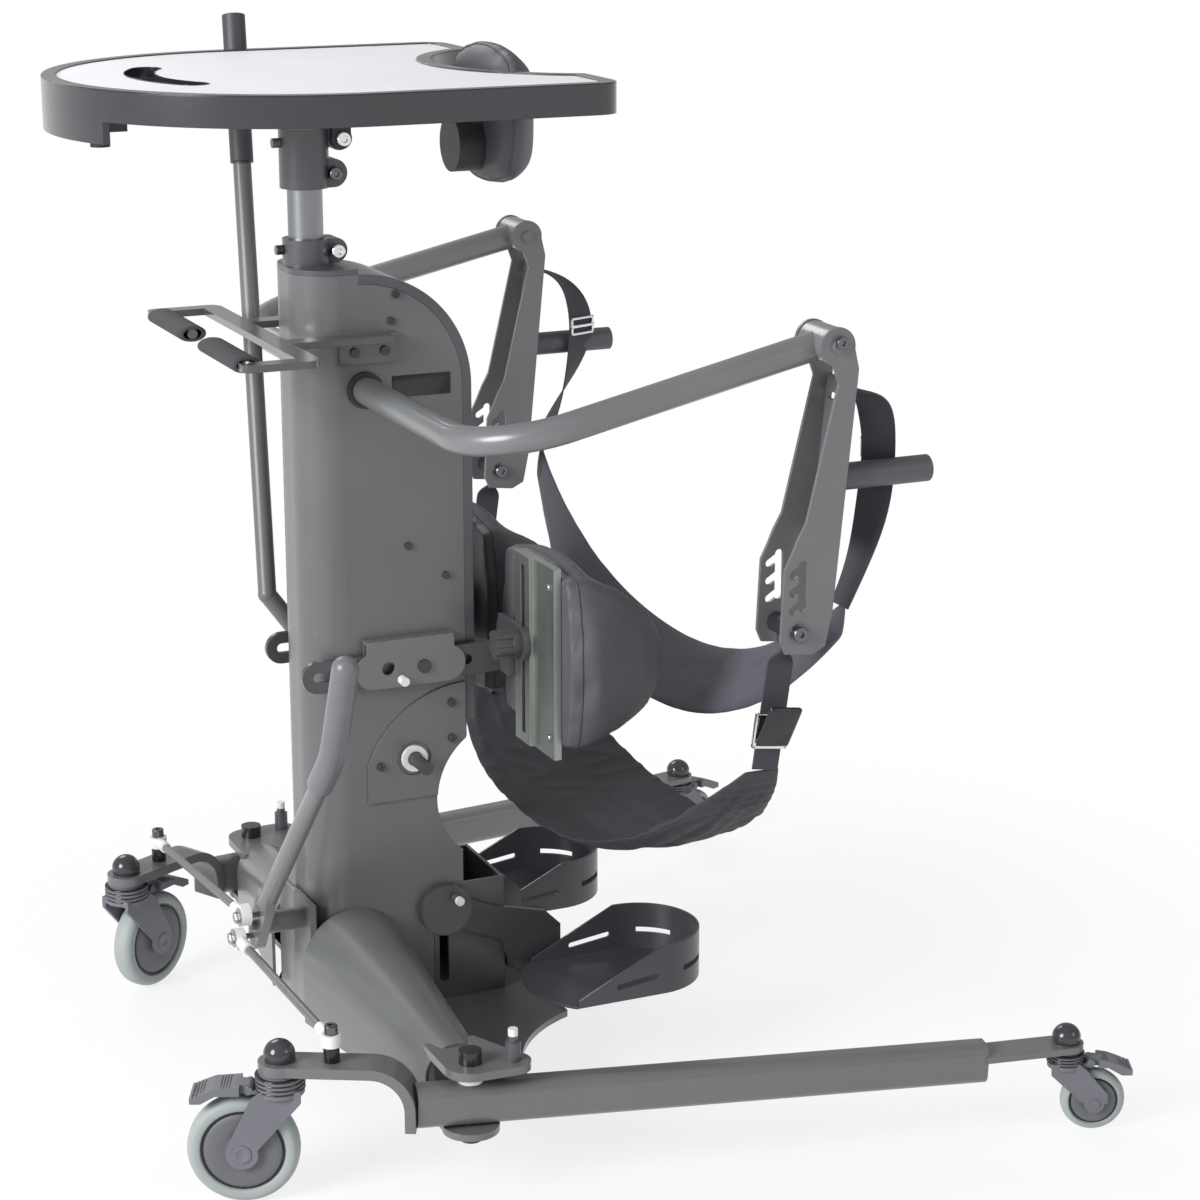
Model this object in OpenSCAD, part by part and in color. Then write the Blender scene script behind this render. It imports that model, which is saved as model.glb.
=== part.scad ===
// Standing frame with a hydraulic strap lift, swivel casters and an activity tray.
// Millimetres, +Z up, +X towards the open leg ends, the user faces -X, left is -Y.

/* [Base] */
// Half distance between the two leg pivots
pivot_y = 391.5; // [360:0.5:420]
// Underside of the base plate above the floor
plate_z = 80; // [74:1:86]
// Thickness of the base plate
plate_t = 8; // [6:0.5:10]
// Rear edge of the base plate, behind the leg pivots
plate_rear_x = 220; // [200:1:236]
// Half width of the base plate at its rear edge
plate_rear_half = 155; // [140:1:170]
// Thickness of the upper pivot tongues
tongue_t = 10; // [8:0.5:12]
// Diameter of the leg pivot bolts
pivot_bolt_d = 16; // [12:0.5:18]
// Half width of a fairing at the mast
fairing_in_r = 65; // [58:1:70]
// Half width of a fairing at its outer end
fairing_out_r = 35; // [33:0.5:38]
// Wall of the fairings
fairing_wall = 4; // [3:0.5:5]

/* [Legs] */
// Angle of each leg from straight, legs open
leg_spread = 10.28; // [8:0.1:12]
// Pivot to rear caster stem along the leg
leg_len = 703; // [680:1:740]
// Height of the leg tube
leg_h = 48; // [44:1:50]
// Width of the leg tube
leg_w = 36; // [32:1:40]
// Wall of the leg tube
leg_wall = 3; // [2:0.5:4]
// Slope of a leg tube, down to its rear end
leg_slope = 1.7; // [0:0.1:2]
// Thickness of the caster plates on the legs
caster_plate_t = 12; // [9:0.5:13]
// Front caster stem from the leg pivot, along the leg
front_stem_a = -203.8; // [-215:0.1:-190]
// Front caster stem from the leg line, inwards
front_stem_b = 44.6; // [35:0.1:50]

/* [Casters] */
// Radius of the large front wheels
front_wheel_r = 62.5; // [58:0.5:65]
// Width of the large front wheels
front_wheel_w = 30; // [26:1:32]
// Trail of the front wheels behind their stems
front_trail = 42; // [38:1:45]
// Height of the plate face that a front fork hangs under
front_top_z = 154; // [152:0.5:160]
// Radius of the small rear wheels
rear_wheel_r = 37.5; // [35:0.5:39]
// Width of the small rear wheels
rear_wheel_w = 24; // [20:1:26]
// Trail of the rear wheels behind their stems
rear_trail = 33; // [30:1:35]
// Height of the plate face that a rear fork hangs under
rear_top_z = 100; // [98:0.5:104]
// Diameter of the wheel axles
axle_d = 10; // [8:0.5:11]

/* [Mast] */
// Half width of the mast
mast_half = 60; // [56:1:64]
// Front face of the mast
mast_front_x = -60; // [-66:1:-56]
// Rear face of the mast
mast_rear_x = 143; // [136:1:150]
// Height of the mast's flat top
mast_top_z = 980; // [950:1:1010]
// Sheet thickness of the mast
mast_wall = 3; // [2:0.5:4]
// Radius of the rounded upper rear corner of the mast
mast_arc_r = 135; // [120:1:145]
// Thickness of the cover along the back of the mast
back_cover_t = 11; // [9:0.5:13]

/* [Lift] */
// Lift pivot, X
lift_x = 13; // [8:1:18]
// Lift pivot, height
lift_z = 848; // [835:1:860]
// Rise angle of the lift arms at rest
lift_rise = 12.5; // [8:0.5:16]
// Diameter of the lift arm tube
arm_d = 32; // [28:0.5:34]
// Wall of the lift arm tube
arm_wall = 4; // [3:0.5:5]
// Centreline radius of the arm bend
arm_bend_r = 100; // [80:1:120]
// Half spread of the lift arms
arm_y = 424; // [405:1:440]
// Lift pivot to yoke pivot
arm_len = 402; // [385:1:420]
// Lever of the crank that the jack pushes
crank_len = 45; // [40:0.5:48]
// Diameter of the jack's ram
ram_d = 28; // [22:0.5:32]
// Diameter of the jack's cylinder
jack_d = 50; // [44:0.5:54]

/* [Yokes] */
// Clear width of a yoke between its side plates
yoke_gap = 52; // [48:1:56]
// Sheet thickness of the yokes
yoke_t = 4; // [3:0.5:5]
// Yoke pivot to strap roller, downwards
yoke_drop = 312; // [300:1:325]
// Lean of a yoke's back edge over its height
yoke_sweep = 26; // [18:1:32]
// Diameter of the yoke hand grips
yoke_handle_d = 30; // [26:0.5:32]
// Length of the yoke hand grips
yoke_handle_len = 105; // [90:1:120]

/* [Tray] */
// Top of the tray rim
tray_z = 1204; // [1190:1:1220]
// Half width of the tray
tray_half = 275; // [260:1:280]
// Straight user edge of the tray
tray_rear_x = 239; // [230:1:248]
// Start of the round front of the tray
tray_mid_x = -43; // [-50:1:-36]
// Height of the tray rim
rim_h = 34; // [30:1:38]
// Width of the tray rim
rim_w = 16; // [13:0.5:20]
// Thickness of the tray panel
panel_t = 11; // [9:0.5:13]
// Radius of the hollow in the user edge
cutout_r = 188; // [176:1:196]
// Diameter of the tray column
column_d = 40; // [36:0.5:42]
// Axis of the tray column
column_x = -32; // [-34:0.5:-31]

/* [Knee supports] */
// Height of the knee bars' middle
knee_bar_z = 517; // [505:1:530]
// Height of the knee bar section
knee_bar_h = 38; // [34:1:42]
// Thickness of the knee bars
knee_bar_t = 7; // [6:0.5:8]
// Middle of each knee pad from the centre plane
knee_pad_y = 126; // [122:1:134]
// Width of a knee pad
knee_pad_w = 228; // [212:1:232]
// Height of a knee pad
knee_pad_h = 240; // [225:1:250]
// Depth of a knee pad at its wings
knee_pad_depth = 142; // [125:1:148]

/* [Foot supports] */
// Floor of the foot trays
foot_floor_z = 122; // [118:1:128]
// Middle of each foot tray from the centre plane
foot_y = 150; // [142:1:158]
// Width of a foot tray
foot_w = 146; // [134:1:152]
// Toe edge of the foot trays
foot_front_x = 172; // [166:1:180]
// Heel of the foot trays
foot_heel_x = 390; // [370:1:400]
// Height of the heel cup
heel_h = 58; // [48:1:64]
// Sheet thickness of the foot trays
foot_t = 3; // [2:0.5:4]

/* [Pump and spread lever] */
// Pump shaft, X
pump_x = 64; // [60:0.5:66]
// Pump shaft, height
pump_z = 401; // [395:1:410]
// Diameter of the pump shaft
pump_shaft_d = 18; // [14:0.5:20]
// Diameter of the pump lever tube
pump_tube_d = 22; // [18:0.5:24]
// Spread lever pivot, height
lever_z = 210; // [205:1:215]
// Spread lever pivot, from the centre plane
lever_y = 30; // [26:1:34]
// Diameter of the spread lever tube
lever_tube_d = 22; // [18:0.5:24]
// Lever pivot to each tie rod stud
stud_arm = 22; // [20:0.5:24]
// Lean of the spread lever to the left, legs open
lever_lean = 35; // [30:0.5:38]

/* [Push handle] */
// Height of the push handle plate
push_z = 905; // [890:1:920]
// Thickness of the push handle plate
push_t = 8; // [6:0.5:10]
// Diameter of the foam grips
push_grip_d = 28; // [24:0.5:32]

/* [Fits] */
// Gap between neighbouring pieces
gap = 0.3; // [0.2:0.05:0.5]
// Radial running clearance of pins and shafts
run = 0.05; // [0.03:0.01:0.08]

/* [Hidden] */
$fn = 48;

// Colours
satin_grey = [0.34, 0.345, 0.35];
pale_grey = [0.48, 0.49, 0.49];
black = [0.12, 0.12, 0.13];
pad_black = [0.22, 0.22, 0.24];
white = [0.92, 0.92, 0.91];
steel = [0.55, 0.55, 0.57];
tyre_grey = [0.64, 0.67, 0.67];
laminate = [0.86, 0.86, 0.90];

// Base
plate_top_z = plate_z + plate_t;
leg_z = plate_top_z + 2;
leg_top_z = leg_z + leg_h;
tongue_z = leg_top_z + 12;
tongue_top_z = tongue_z + tongue_t;
tongue_r = 30;
leg_pin_at = [46, -pivot_y - 12];
leg_pin_d = 10;
leg_pin_ear_r = 20;
fairing_in_y = mast_half + gap;
fairing_out_y = pivot_y - 46;
fairing_in_c = [-15, 157];
fairing_out_c = [0, 128];
lever_plate_t = 8;
lever_boss_x = mast_front_x - 56;
lever_hub_t = 12;
lever_pin_d = 12;

// Legs and casters
leg_tube_front = -62;
leg_tab_len = 102;
arm_span = [front_stem_a - leg_tube_front, front_stem_b];
arm_angle = atan2(arm_span.y, arm_span.x);
arm_run = norm(arm_span);
arm_plate_w = 44;
arm_bend_out = 50;
front_plate_top_z = front_top_z + caster_plate_t;
rear_plate_t = 8;
rear_plate_top_z = rear_top_z + rear_plate_t;
stud_run = 91;
stud_r = 8;
stud_pin_d = 8;
stud_top_z = front_plate_top_z + 18;
rod_end_h = 14;
front_left_turn = 156;
front_right_turn = 34;
rear_turn = 24;
front_crown_r = 27;
rear_crown_r = 21;
front_pedal_tip = 98;
rear_pedal_tip = 76;
rear_pedal_half = 15;

// A place on the left leg, along and inwards of its own line, in the base's frame
function on_left_leg(a, b) = [
    a * cos(leg_spread) + b * sin(leg_spread),
    -pivot_y - a * sin(leg_spread) + b * cos(leg_spread)
];
function on_arm(s) = [leg_tube_front + s * cos(arm_angle), s * sin(arm_angle)];
front_stem = on_left_leg(front_stem_a, front_stem_b);
rear_stem = on_left_leg(leg_len, 0);
leg_stud = on_left_leg(on_arm(stud_run).x, on_arm(stud_run).y);

// Overall middle, which becomes the origin
tray_front_x = tray_mid_x - tray_half;
rear_tip_x = rear_stem.x + rear_pedal_tip * cos(rear_turn) + rear_pedal_half * sin(rear_turn);
mid_x = (tray_front_x + rear_tip_x) / 2;

// Mast
mast_corner_r = 45;
mast_arc_c = [mast_rear_x - mast_arc_r, mast_top_z - mast_arc_r];
mast_waist_c = [183, 345];
mast_waist_r = 90;
mast_foot_x = 86;
mast_foot_z = 236;
back_cover_z = 440;
collar_top_z = mast_top_z + 36;
collar_r = column_d / 2 + 7;
clamp_bolt_x = column_x + column_d / 2 + 10;
clamp_bolt_d = 8;

// Lift and yokes
yoke_at = [lift_x + arm_len * cos(lift_rise), lift_z + arm_len * sin(lift_rise)];
shaft_half = mast_half + 8;
crank_w = 20;
crank_r = 14;
jack_x = lift_x + crank_len;
jack_top_z = 620;
ram_top_z = lift_z - crank_r - 3.2;
boss_d = 40;
yoke_pin_d = 14;
roller_at = [yoke_at.x - 15 - yoke_sweep, yoke_at[1] - yoke_drop];
roller_d = 22;
yoke_handle_z = yoke_at[1] - 150;
yoke_back_x = yoke_at.x + 26;
function yoke_back(z) = yoke_back_x - yoke_sweep * (yoke_at[1] - 26 - z) / (yoke_drop - 46);
yoke_out_w = yoke_gap + 2 * yoke_t;

// Tray
rim_low_z = tray_z - rim_h;
panel_low_z = tray_z - 1.5 - panel_t;
cutout_x = tray_rear_x + 84;
column_low_z = mast_top_z - 100;
head_h = 67;
head_top_z = rim_low_z - 30;
head_low_z = head_top_z - head_h;
column_top_z = head_low_z + 40;
tilt_x = 6;
tilt_z = head_top_z - 12;
tilt_pin_d = 10;
tilt_tongue_half = 14;
chest_z = rim_low_z - 23;
chest_back_x = 176;
chest_w = 210;
chest_h = 170;

// Knee supports
bar_in_y = mast_half + 2.8;
bar_out_y = bar_in_y + knee_bar_t;
bracket_out_y = bar_out_y + 0.4;
bracket_t = 4;
bracket_x0 = -10;
bracket_x1 = 126;
bracket_low_z = knee_bar_z - 22;
bracket_top_z = knee_bar_z + 36;
knee_bolt_x = 74;
knee_slot_h = 12;
knee_front_x = -74;
knee_cross_x = 172;
rail_x = knee_cross_x + knee_bar_t + gap;
rail_t = 14;
rail_w = 104;
rail_y = knee_pad_y + 24;
rail_slot_y = knee_pad_y - 4;
rail_slot_w = 11;
knee_pad_x = rail_x + rail_t + gap;
knee_pad_z = knee_bar_z + 23;
knee_knob_z = knee_bar_z + 30;
knee_pin_at = [46, knee_bar_z - 13];
pull_pin_d = 8;

// Foot supports
post_x = mast_foot_x + gap;
post_rear_x = 178;
post_t = 4;
foot_slot_x = 99;
foot_slot_w = 12;
foot_slot_low_z = 115;
foot_bolt_z = foot_floor_z + 84;
foot_disc_r = 32;
carriage_in_y = mast_half + 0.4;
carriage_t = 5;
carriage_rear_x = 250;
shelf_t = 5;
shelf_z = foot_floor_z - foot_t - gap - shelf_t;
foot_pin_at = [foot_slot_x + 11, foot_bolt_z + 15];

// Pump and spread lever
pump_stub = mast_half + 45;
pump_far_y = mast_half + 28;
pump_bend = [pump_x - 120, mast_half + 50, pump_z + 171];
pump_tip = [pump_x - 70, tray_half + 55, pump_z + 838];
pump_grip_len = 180;
pump_grip_d = 28;
lever_x = lever_boss_x - lever_hub_t / 2;
lever_bend = [lever_x + 22, 348];
lever_bow = 21.5;
lever_top = 124;
lever_grip_lean = 23;
lever_sleeve = 58;
grip_d = 30;

// Push handle
push_bar_x = mast_front_x - 44;
push_bar_w = 24;
push_half = 180;
push_grip_x = push_bar_x - 54;
push_grip_y0 = 34;
push_grip_y1 = 166;
push_rod_d = 12;

// Helpers
module at_origin() {
    translate([-mid_x, 0, 0]) children();
}
module both_sides() {
    children();
    mirror([0, 1, 0]) children();
}
module rod(p, q, d) {
    v = q - p;
    translate(p)
        rotate([0, acos(v.z / norm(v)), atan2(v.y, v.x)])
            cylinder(h = norm(v), d = d);
}
module taper(p, q, r1, r2) {
    v = q - p;
    translate(p)
        rotate([0, acos(v.z / norm(v)), atan2(v.y, v.x)])
            cylinder(h = norm(v), r1 = r1, r2 = r2);
}
// A bar along X from x0 to x1
module bar_x(x0, x1, y, z, d) {
    translate([x0, y, z]) rotate([0, 90, 0]) cylinder(h = x1 - x0, d = d);
}
// A bar along Y from y0 to y1
module bar_y(x, y0, y1, z, d) {
    translate([x, y0, z]) rotate([-90, 0, 0]) cylinder(h = y1 - y0, d = d);
}
// A block between two corners
module block(p, q) {
    translate(p) cube(q - p);
}
// A side profile drawn in X and Z, made solid from y0 to y1
module side(y0, y1) {
    translate([0, y1, 0]) rotate([90, 0, 0]) linear_extrude(y1 - y0) children();
}
// A section drawn in Y and Z, made solid from x0 to x1
module section(x0, x1) {
    translate([x0, 0, 0]) rotate([90, 0, 90]) linear_extrude(x1 - x0) children();
}
module area(p, q) {
    translate(p) square(q - p);
}
module round_rect(w, h, r) {
    square([w - 2 * r, h], center = true);
    square([w, h - 2 * r], center = true);
    for (x = [-1, 1], y = [-1, 1]) translate([x * (w / 2 - r), y * (h / 2 - r)]) circle(r);
}
// A slot between two points of a drawing
module slot(p, q, w) {
    v = q - p;
    translate(p) circle(d = w);
    translate(q) circle(d = w);
    translate(p) rotate(atan2(v.y, v.x)) translate([0, -w / 2]) square([norm(v), w]);
}

// A closed cushion that stands on its back face and swells along X.
// Front and back rises are given at ring k and turn angle t by the child of its name.
ring_count = 8;
turn_count = 32;
function pow_sign(v, e) = sign(v) * pow(abs(v), e);
function ring_at(k) = sin(90 * k / ring_count);
function pad_spot(k, j, w, h) = [
    w / 2 * ring_at(k) * pow_sign(cos(360 * j / turn_count), 0.5),
    h / 2 * ring_at(k) * pow_sign(sin(360 * j / turn_count), 0.5)
];
function pad_faces() = let (n = turn_count, m = ring_count, back = 1 + m * n) concat(
    [for (j = [0 : n - 1]) [0, 1 + (j + 1) % n, 1 + j]],
    [for (k = [0 : m - 2], j = [0 : n - 1]) each [
        [1 + k * n + j, 1 + k * n + (j + 1) % n, 1 + (k + 1) * n + j],
        [1 + k * n + (j + 1) % n, 1 + (k + 1) * n + (j + 1) % n, 1 + (k + 1) * n + j]]],
    [for (j = [0 : n - 1]) each [
        [1 + (m - 1) * n + j, 1 + (m - 1) * n + (j + 1) % n, back + j],
        [1 + (m - 1) * n + (j + 1) % n, back + (j + 1) % n, back + j]]],
    [for (j = [0 : n - 1]) [back + j, back + (j + 1) % n, back + n]]
);
module cushion(front, back_ring, back_mid) {
    polyhedron(concat(front, back_ring, [back_mid]), pad_faces());
}

// A closed sheet with thickness, laid on a grid of centres, widths and normals
function sheet_faces(n, m) = let (row = m + 1, lower = (n + 1) * (m + 1)) concat(
    [for (i = [0 : n - 1], j = [0 : m - 1]) each [
        [i * row + j, (i + 1) * row + j, (i + 1) * row + j + 1],
        [i * row + j, (i + 1) * row + j + 1, i * row + j + 1],
        [lower + i * row + j, lower + (i + 1) * row + j + 1, lower + (i + 1) * row + j],
        [lower + i * row + j, lower + i * row + j + 1, lower + (i + 1) * row + j + 1]]],
    [for (i = [0 : n - 1], j = [0, m]) each let (a = i * row + j, b = (i + 1) * row + j) j == 0
        ? [[a, lower + a, lower + b], [a, lower + b, b]]
        : [[a, b, lower + b], [a, lower + b, lower + a]]],
    [for (j = [0 : m - 1], i = [0, n]) each let (a = i * row + j, b = i * row + j + 1) i == 0
        ? [[a, b, lower + b], [a, lower + b, lower + a]]
        : [[a, lower + a, lower + b], [a, lower + b, b]]]
);

// Base frame
module base_plate_half() {
    difference() {
        polygon([
            [mast_front_x - lever_plate_t - 2, 0], [mast_front_x - lever_plate_t - 2, -75],
            [-tongue_r, -150], [-tongue_r, -pivot_y], [tongue_r, -pivot_y],
            [112, -345], [plate_rear_x, -plate_rear_half], [plate_rear_x, 0]
        ]);
        translate([plate_rear_x + 70, -plate_rear_half - 173]) circle(186);
    }
    translate([0, -pivot_y]) circle(tongue_r + 2);
}
module tongue_outline() {
    translate([0, -pivot_y]) circle(tongue_r);
    translate(leg_pin_at) circle(leg_pin_ear_r);
    polygon([
        [-tongue_r, -fairing_out_y + 20], [-tongue_r, -pivot_y], [0, -pivot_y - tongue_r],
        [leg_pin_at.x, leg_pin_at.y - leg_pin_ear_r], [leg_pin_at.x + leg_pin_ear_r, leg_pin_at.y],
        [tongue_r, -fairing_out_y + 20]
    ]);
}
module base_frame() {
    color(satin_grey) difference() {
        union() {
            translate([0, 0, plate_z]) linear_extrude(plate_t) both_sides() base_plate_half();
            both_sides() {
                translate([0, 0, tongue_z]) linear_extrude(tongue_t) tongue_outline();
                block([-24, -fairing_out_y + 2, plate_top_z], [24, -fairing_out_y + 20, tongue_z]);
            }
            block([mast_front_x - 2 - lever_plate_t, -lever_y - 30, plate_z],
                [mast_front_x - 2, -lever_y + 30, lever_z + 24]);
            bar_x(lever_boss_x, mast_front_x - 2, -lever_y, lever_z, 26);
            bar_x(lever_boss_x - lever_hub_t - 6, lever_boss_x, -lever_y, lever_z, lever_pin_d);
        }
        both_sides() {
            translate([0, -pivot_y, 0]) cylinder(h = tongue_top_z + 1, d = pivot_bolt_d + 2 * run);
            translate([leg_pin_at.x, leg_pin_at.y, tongue_z - 1])
                cylinder(h = tongue_t + 2, d = leg_pin_d + 2 * run);
        }
    }
}

// Arched fairings from the mast to the pivots
module fairing_arch(wall) {
    y0 = -fairing_in_y;
    y1 = -fairing_out_y;
    reach = 20;
    slope_x = (fairing_out_c.x - fairing_in_c.x) / (y1 - y0);
    slope_z = (fairing_out_c[1] - fairing_in_c[1]) / (y1 - y0);
    slope_r = (fairing_out_r - fairing_in_r) / (y1 - y0);
    p = [fairing_in_c.x + slope_x * reach, y0 + reach, fairing_in_c[1] + slope_z * reach];
    q = [fairing_out_c.x - slope_x * reach, y1 - reach, fairing_out_c[1] - slope_z * reach];
    taper(p, q, fairing_in_r + slope_r * reach - wall, fairing_out_r - slope_r * reach - wall);
    intersection() {
        translate([0, 0, plate_top_z - 30]) linear_extrude(200) polygon([
            [p.x - fairing_in_r - slope_r * reach + wall, p.y],
            [p.x + fairing_in_r + slope_r * reach - wall, p.y],
            [q.x + fairing_out_r - slope_r * reach - wall, q.y],
            [q.x - fairing_out_r + slope_r * reach + wall, q.y]
        ]);
        section(-200, 200) polygon([
            [p.y + 1, plate_top_z - 40], [p.y + 1, p.z], [q.y - 1, q.z], [q.y - 1, plate_top_z - 40]]);
    }
}
module base_fairings() {
    color(satin_grey) both_sides() difference() {
        intersection() {
            fairing_arch(0);
            block([-150, -fairing_out_y, plate_top_z + gap / 2], [150, -fairing_in_y, 300]);
        }
        fairing_arch(fairing_wall);
        translate([0, 0, tongue_z - gap / 2]) linear_extrude(tongue_t + gap) tongue_outline();
        block([mast_front_x - 2 - lever_plate_t - gap, -lever_y - 30 - gap, plate_z],
            [mast_front_x - 2 + gap, 0, lever_z + 60]);
    }
}

// Mast
module mast_side(inset, rear) {
    difference() {
        union() {
            area([mast_front_x - 1, plate_top_z + gap / 2 - inset], [mast_arc_c.x, mast_top_z - inset]);
            area([mast_arc_c.x - 1, mast_foot_z], [rear, mast_arc_c[1]]);
            intersection() {
                translate(mast_arc_c) circle(rear - mast_arc_c.x);
                area(mast_arc_c - [1, 1], mast_arc_c + [200, 200]);
            }
            area([0, plate_top_z + gap / 2 - inset], [mast_foot_x, mast_foot_z + 1]);
        }
        translate(mast_waist_c) circle(mast_waist_r);
        area([mast_foot_x + 39, mast_foot_z - 1], [rear + 1, mast_waist_c[1] - 70]);
    }
}
module mast_plan(inset) {
    half = mast_half - inset;
    r = mast_corner_r - inset;
    front = mast_front_x + inset;
    area([front + r, -half], [mast_rear_x + 20, half]);
    area([front, -half + r], [front + r + 1, half - r]);
    for (s = [-1, 1]) translate([front + r, s * (half - r)]) circle(r);
}
module mast_shell() {
    rear = mast_rear_x - back_cover_t - gap;
    color(satin_grey) difference() {
        intersection() {
            linear_extrude(mast_top_z) mast_plan(0);
            side(-mast_half - 1, mast_half + 1) mast_side(0, rear);
        }
        translate([0, 0, -1]) linear_extrude(mast_top_z + 2) mast_plan(mast_wall);
        bar_y(lift_x, -mast_half - 1, mast_half + 1, lift_z, arm_d + 10);
        bar_y(pump_x, -mast_half - 1, mast_half + 1, pump_z, pump_shaft_d + 14);
    }
}
module mast_back_cover() {
    rear = mast_rear_x - back_cover_t;
    color(black) side(-mast_half, mast_half) difference() {
        mast_side(0, mast_rear_x);
        area([mast_arc_c.x - 100, 0], [rear, mast_arc_c[1]]);
        area([mast_front_x - 2, 0], [mast_arc_c.x, mast_top_z + 1]);
        translate(mast_arc_c) circle(rear - mast_arc_c.x);
        area([0, 0], [mast_rear_x + 1, back_cover_z]);
    }
}
module mast_top_cap() {
    color(black) difference() {
        union() {
            translate([0, 0, mast_top_z + gap / 2]) intersection() {
                linear_extrude(6) mast_plan(0);
                translate([mast_front_x - 1, -mast_half - 1, 0])
                    cube([mast_arc_c.x - mast_front_x + 1, 2 * mast_half + 2, 6]);
            }
            translate([column_x, 0, mast_top_z + 1])
                cylinder(h = collar_top_z - mast_top_z - 1, r = collar_r);
            block([column_x, -15, mast_top_z + 8], [clamp_bolt_x, 15, collar_top_z]);
            bar_y(clamp_bolt_x, -15, 15, (mast_top_z + 8 + collar_top_z) / 2, collar_top_z - mast_top_z - 8);
        }
        translate([column_x, 0, mast_top_z - 1]) cylinder(h = 60, d = column_d + 2 * run);
        block([column_x + 1, -1.5, mast_top_z + 8], [clamp_bolt_x + 30, 1.5, collar_top_z + 1]);
        bar_y(clamp_bolt_x, -30, 30, (mast_top_z + 8 + collar_top_z) / 2, clamp_bolt_d + 2 * run);
    }
}

// Curved service panels low on the mast's sides
panel_c = [134, 352];
module service_panels() {
    color(satin_grey) both_sides() side(-mast_half - 2.5, -mast_half - gap / 2) difference() {
        intersection() {
            translate(panel_c) circle(136);
            area([6, mast_waist_c[1] + 6], [mast_rear_x - back_cover_t - 2, bracket_low_z - 6]);
        }
        translate(mast_waist_c) circle(mast_waist_r);
        translate([pump_x, pump_z]) circle(d = pump_shaft_d + 24);
    }
}

// Screws and bolts of the fixed frame
module button_screw(x, y, z, d) {
    bar_y(x, y - 3, y, z, d);
}
mast_screws = [[52, 955], [46, 925], [108, 620], [62, 660]];
panel_screws = [[112, 464], [112, 420], [22, 396]];
module frame_screws() {
    color(steel) {
        both_sides() {
            for (p = mast_screws) button_screw(p.x, -mast_half - gap / 2, p[1], 9);
            for (p = panel_screws) button_screw(p.x, -mast_half - 2.5 - gap / 2, p[1], 10);
            for (x = [0, 36]) button_screw(x, -mast_half - 6.5, push_z - 12, 11);
            button_screw(knee_bolt_x, -bracket_out_y - bracket_t - gap / 2, knee_bar_z, 16);
            bar_y(knee_bolt_x, -bracket_out_y - bracket_t, -mast_half - gap, knee_bar_z, knee_slot_h - 0.2);
            translate([0, -pivot_y, plate_z - 12])
                cylinder(h = tongue_top_z - plate_z + 12, d = pivot_bolt_d);
            translate([0, -pivot_y, tongue_top_z + gap / 2]) cylinder(h = 15, d = 26);
            translate([0, -pivot_y, plate_z - 12]) cylinder(h = 12 - gap / 2, d = 24);
        }
        bar_y(clamp_bolt_x, -22, 22, (mast_top_z + 8 + collar_top_z) / 2, clamp_bolt_d);
        bar_y(clamp_bolt_x, -24, -15 - gap / 2, (mast_top_z + 8 + collar_top_z) / 2, 15);
        bar_x(column_x - collar_r - 9, column_x - collar_r - gap / 2, 0, collar_top_z - 12, 11);
    }
}

// Hydraulic jack and its ram inside the mast
module jack_body() {
    color(black) difference() {
        union() {
            translate([jack_x, 0, plate_top_z + gap / 2]) cylinder(h = jack_top_z - plate_top_z, d = jack_d);
            translate([jack_x, 0, plate_top_z + gap / 2]) cylinder(h = 12, d = jack_d + 3);
            bar_y(pump_x, -34, 34, pump_z, pump_shaft_d + 14);
        }
        translate([jack_x, 0, 440]) cylinder(h = jack_top_z, d = ram_d + 2 * run);
        bar_y(pump_x, -40, 40, pump_z, pump_shaft_d + 2 * run);
    }
}
module jack_ram() {
    color(steel) translate([jack_x, 0, 470]) cylinder(h = ram_top_z - 470, d = ram_d);
}

// Bushes of the lift shaft, the pump shaft and the leg pivots
module ring_y(x, y0, y1, z, d_out, d_in) {
    difference() {
        bar_y(x, y0, y1, z, d_out);
        bar_y(x, y0 - 1, y1 + 1, z, d_in);
    }
}
module shaft_bushes() {
    color(white) both_sides() {
        ring_y(lift_x, -mast_half - 6, -mast_half + mast_wall, lift_z, arm_d + 10 - 2 * run, arm_d + 2 * run);
        ring_y(pump_x, -mast_half - 5, -mast_half + mast_wall, pump_z,
            pump_shaft_d + 14 - 2 * run, pump_shaft_d + 2 * run);
        translate([0, -pivot_y, leg_top_z + gap / 2]) difference() {
            cylinder(h = tongue_z - leg_top_z - gap, r = 14);
            translate([0, 0, -1]) cylinder(h = 20, d = pivot_bolt_d + 2 * run);
        }
    }
}

// Push handle with two inward grips
module push_handle() {
    color(satin_grey) both_sides() {
        translate([0, 0, push_z]) linear_extrude(push_t) {
            area([push_bar_x, -push_half], [push_bar_x + push_bar_w, 0.01]);
            area([push_bar_x, -mast_half - 26], [40, -mast_half - gap]);
            slot([push_bar_x + 11, -push_half], [push_grip_x, -push_half], 22);
            area([push_grip_x - 11, -push_half], [push_grip_x + 11, -push_half + 10]);
        }
        block([-18, -mast_half - 6, push_z - 26], [52, -mast_half - gap, push_z + push_t]);
        bar_y(push_grip_x, -push_half, -push_grip_y0 - 2, push_z + push_t / 2, push_rod_d);
    }
}
module push_grips() {
    color(black) both_sides() difference() {
        translate([push_grip_x, -push_grip_y1, push_z + push_t / 2]) rotate([-90, 0, 0])
            rotate_extrude() {
                area([0, 0], [push_grip_d / 2 - 4, push_grip_y1 - push_grip_y0]);
                area([0, 4], [push_grip_d / 2, push_grip_y1 - push_grip_y0 - 4]);
                for (y = [4, push_grip_y1 - push_grip_y0 - 4])
                    intersection() {
                        translate([push_grip_d / 2 - 4, y]) circle(4);
                        area([0, -10], [50, 300]);
                    }
            }
        bar_y(push_grip_x, -push_grip_y1 - 1, -push_grip_y0 - 2 + run,
            push_z + push_t / 2, push_rod_d + 2 * run);
    }
}

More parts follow.
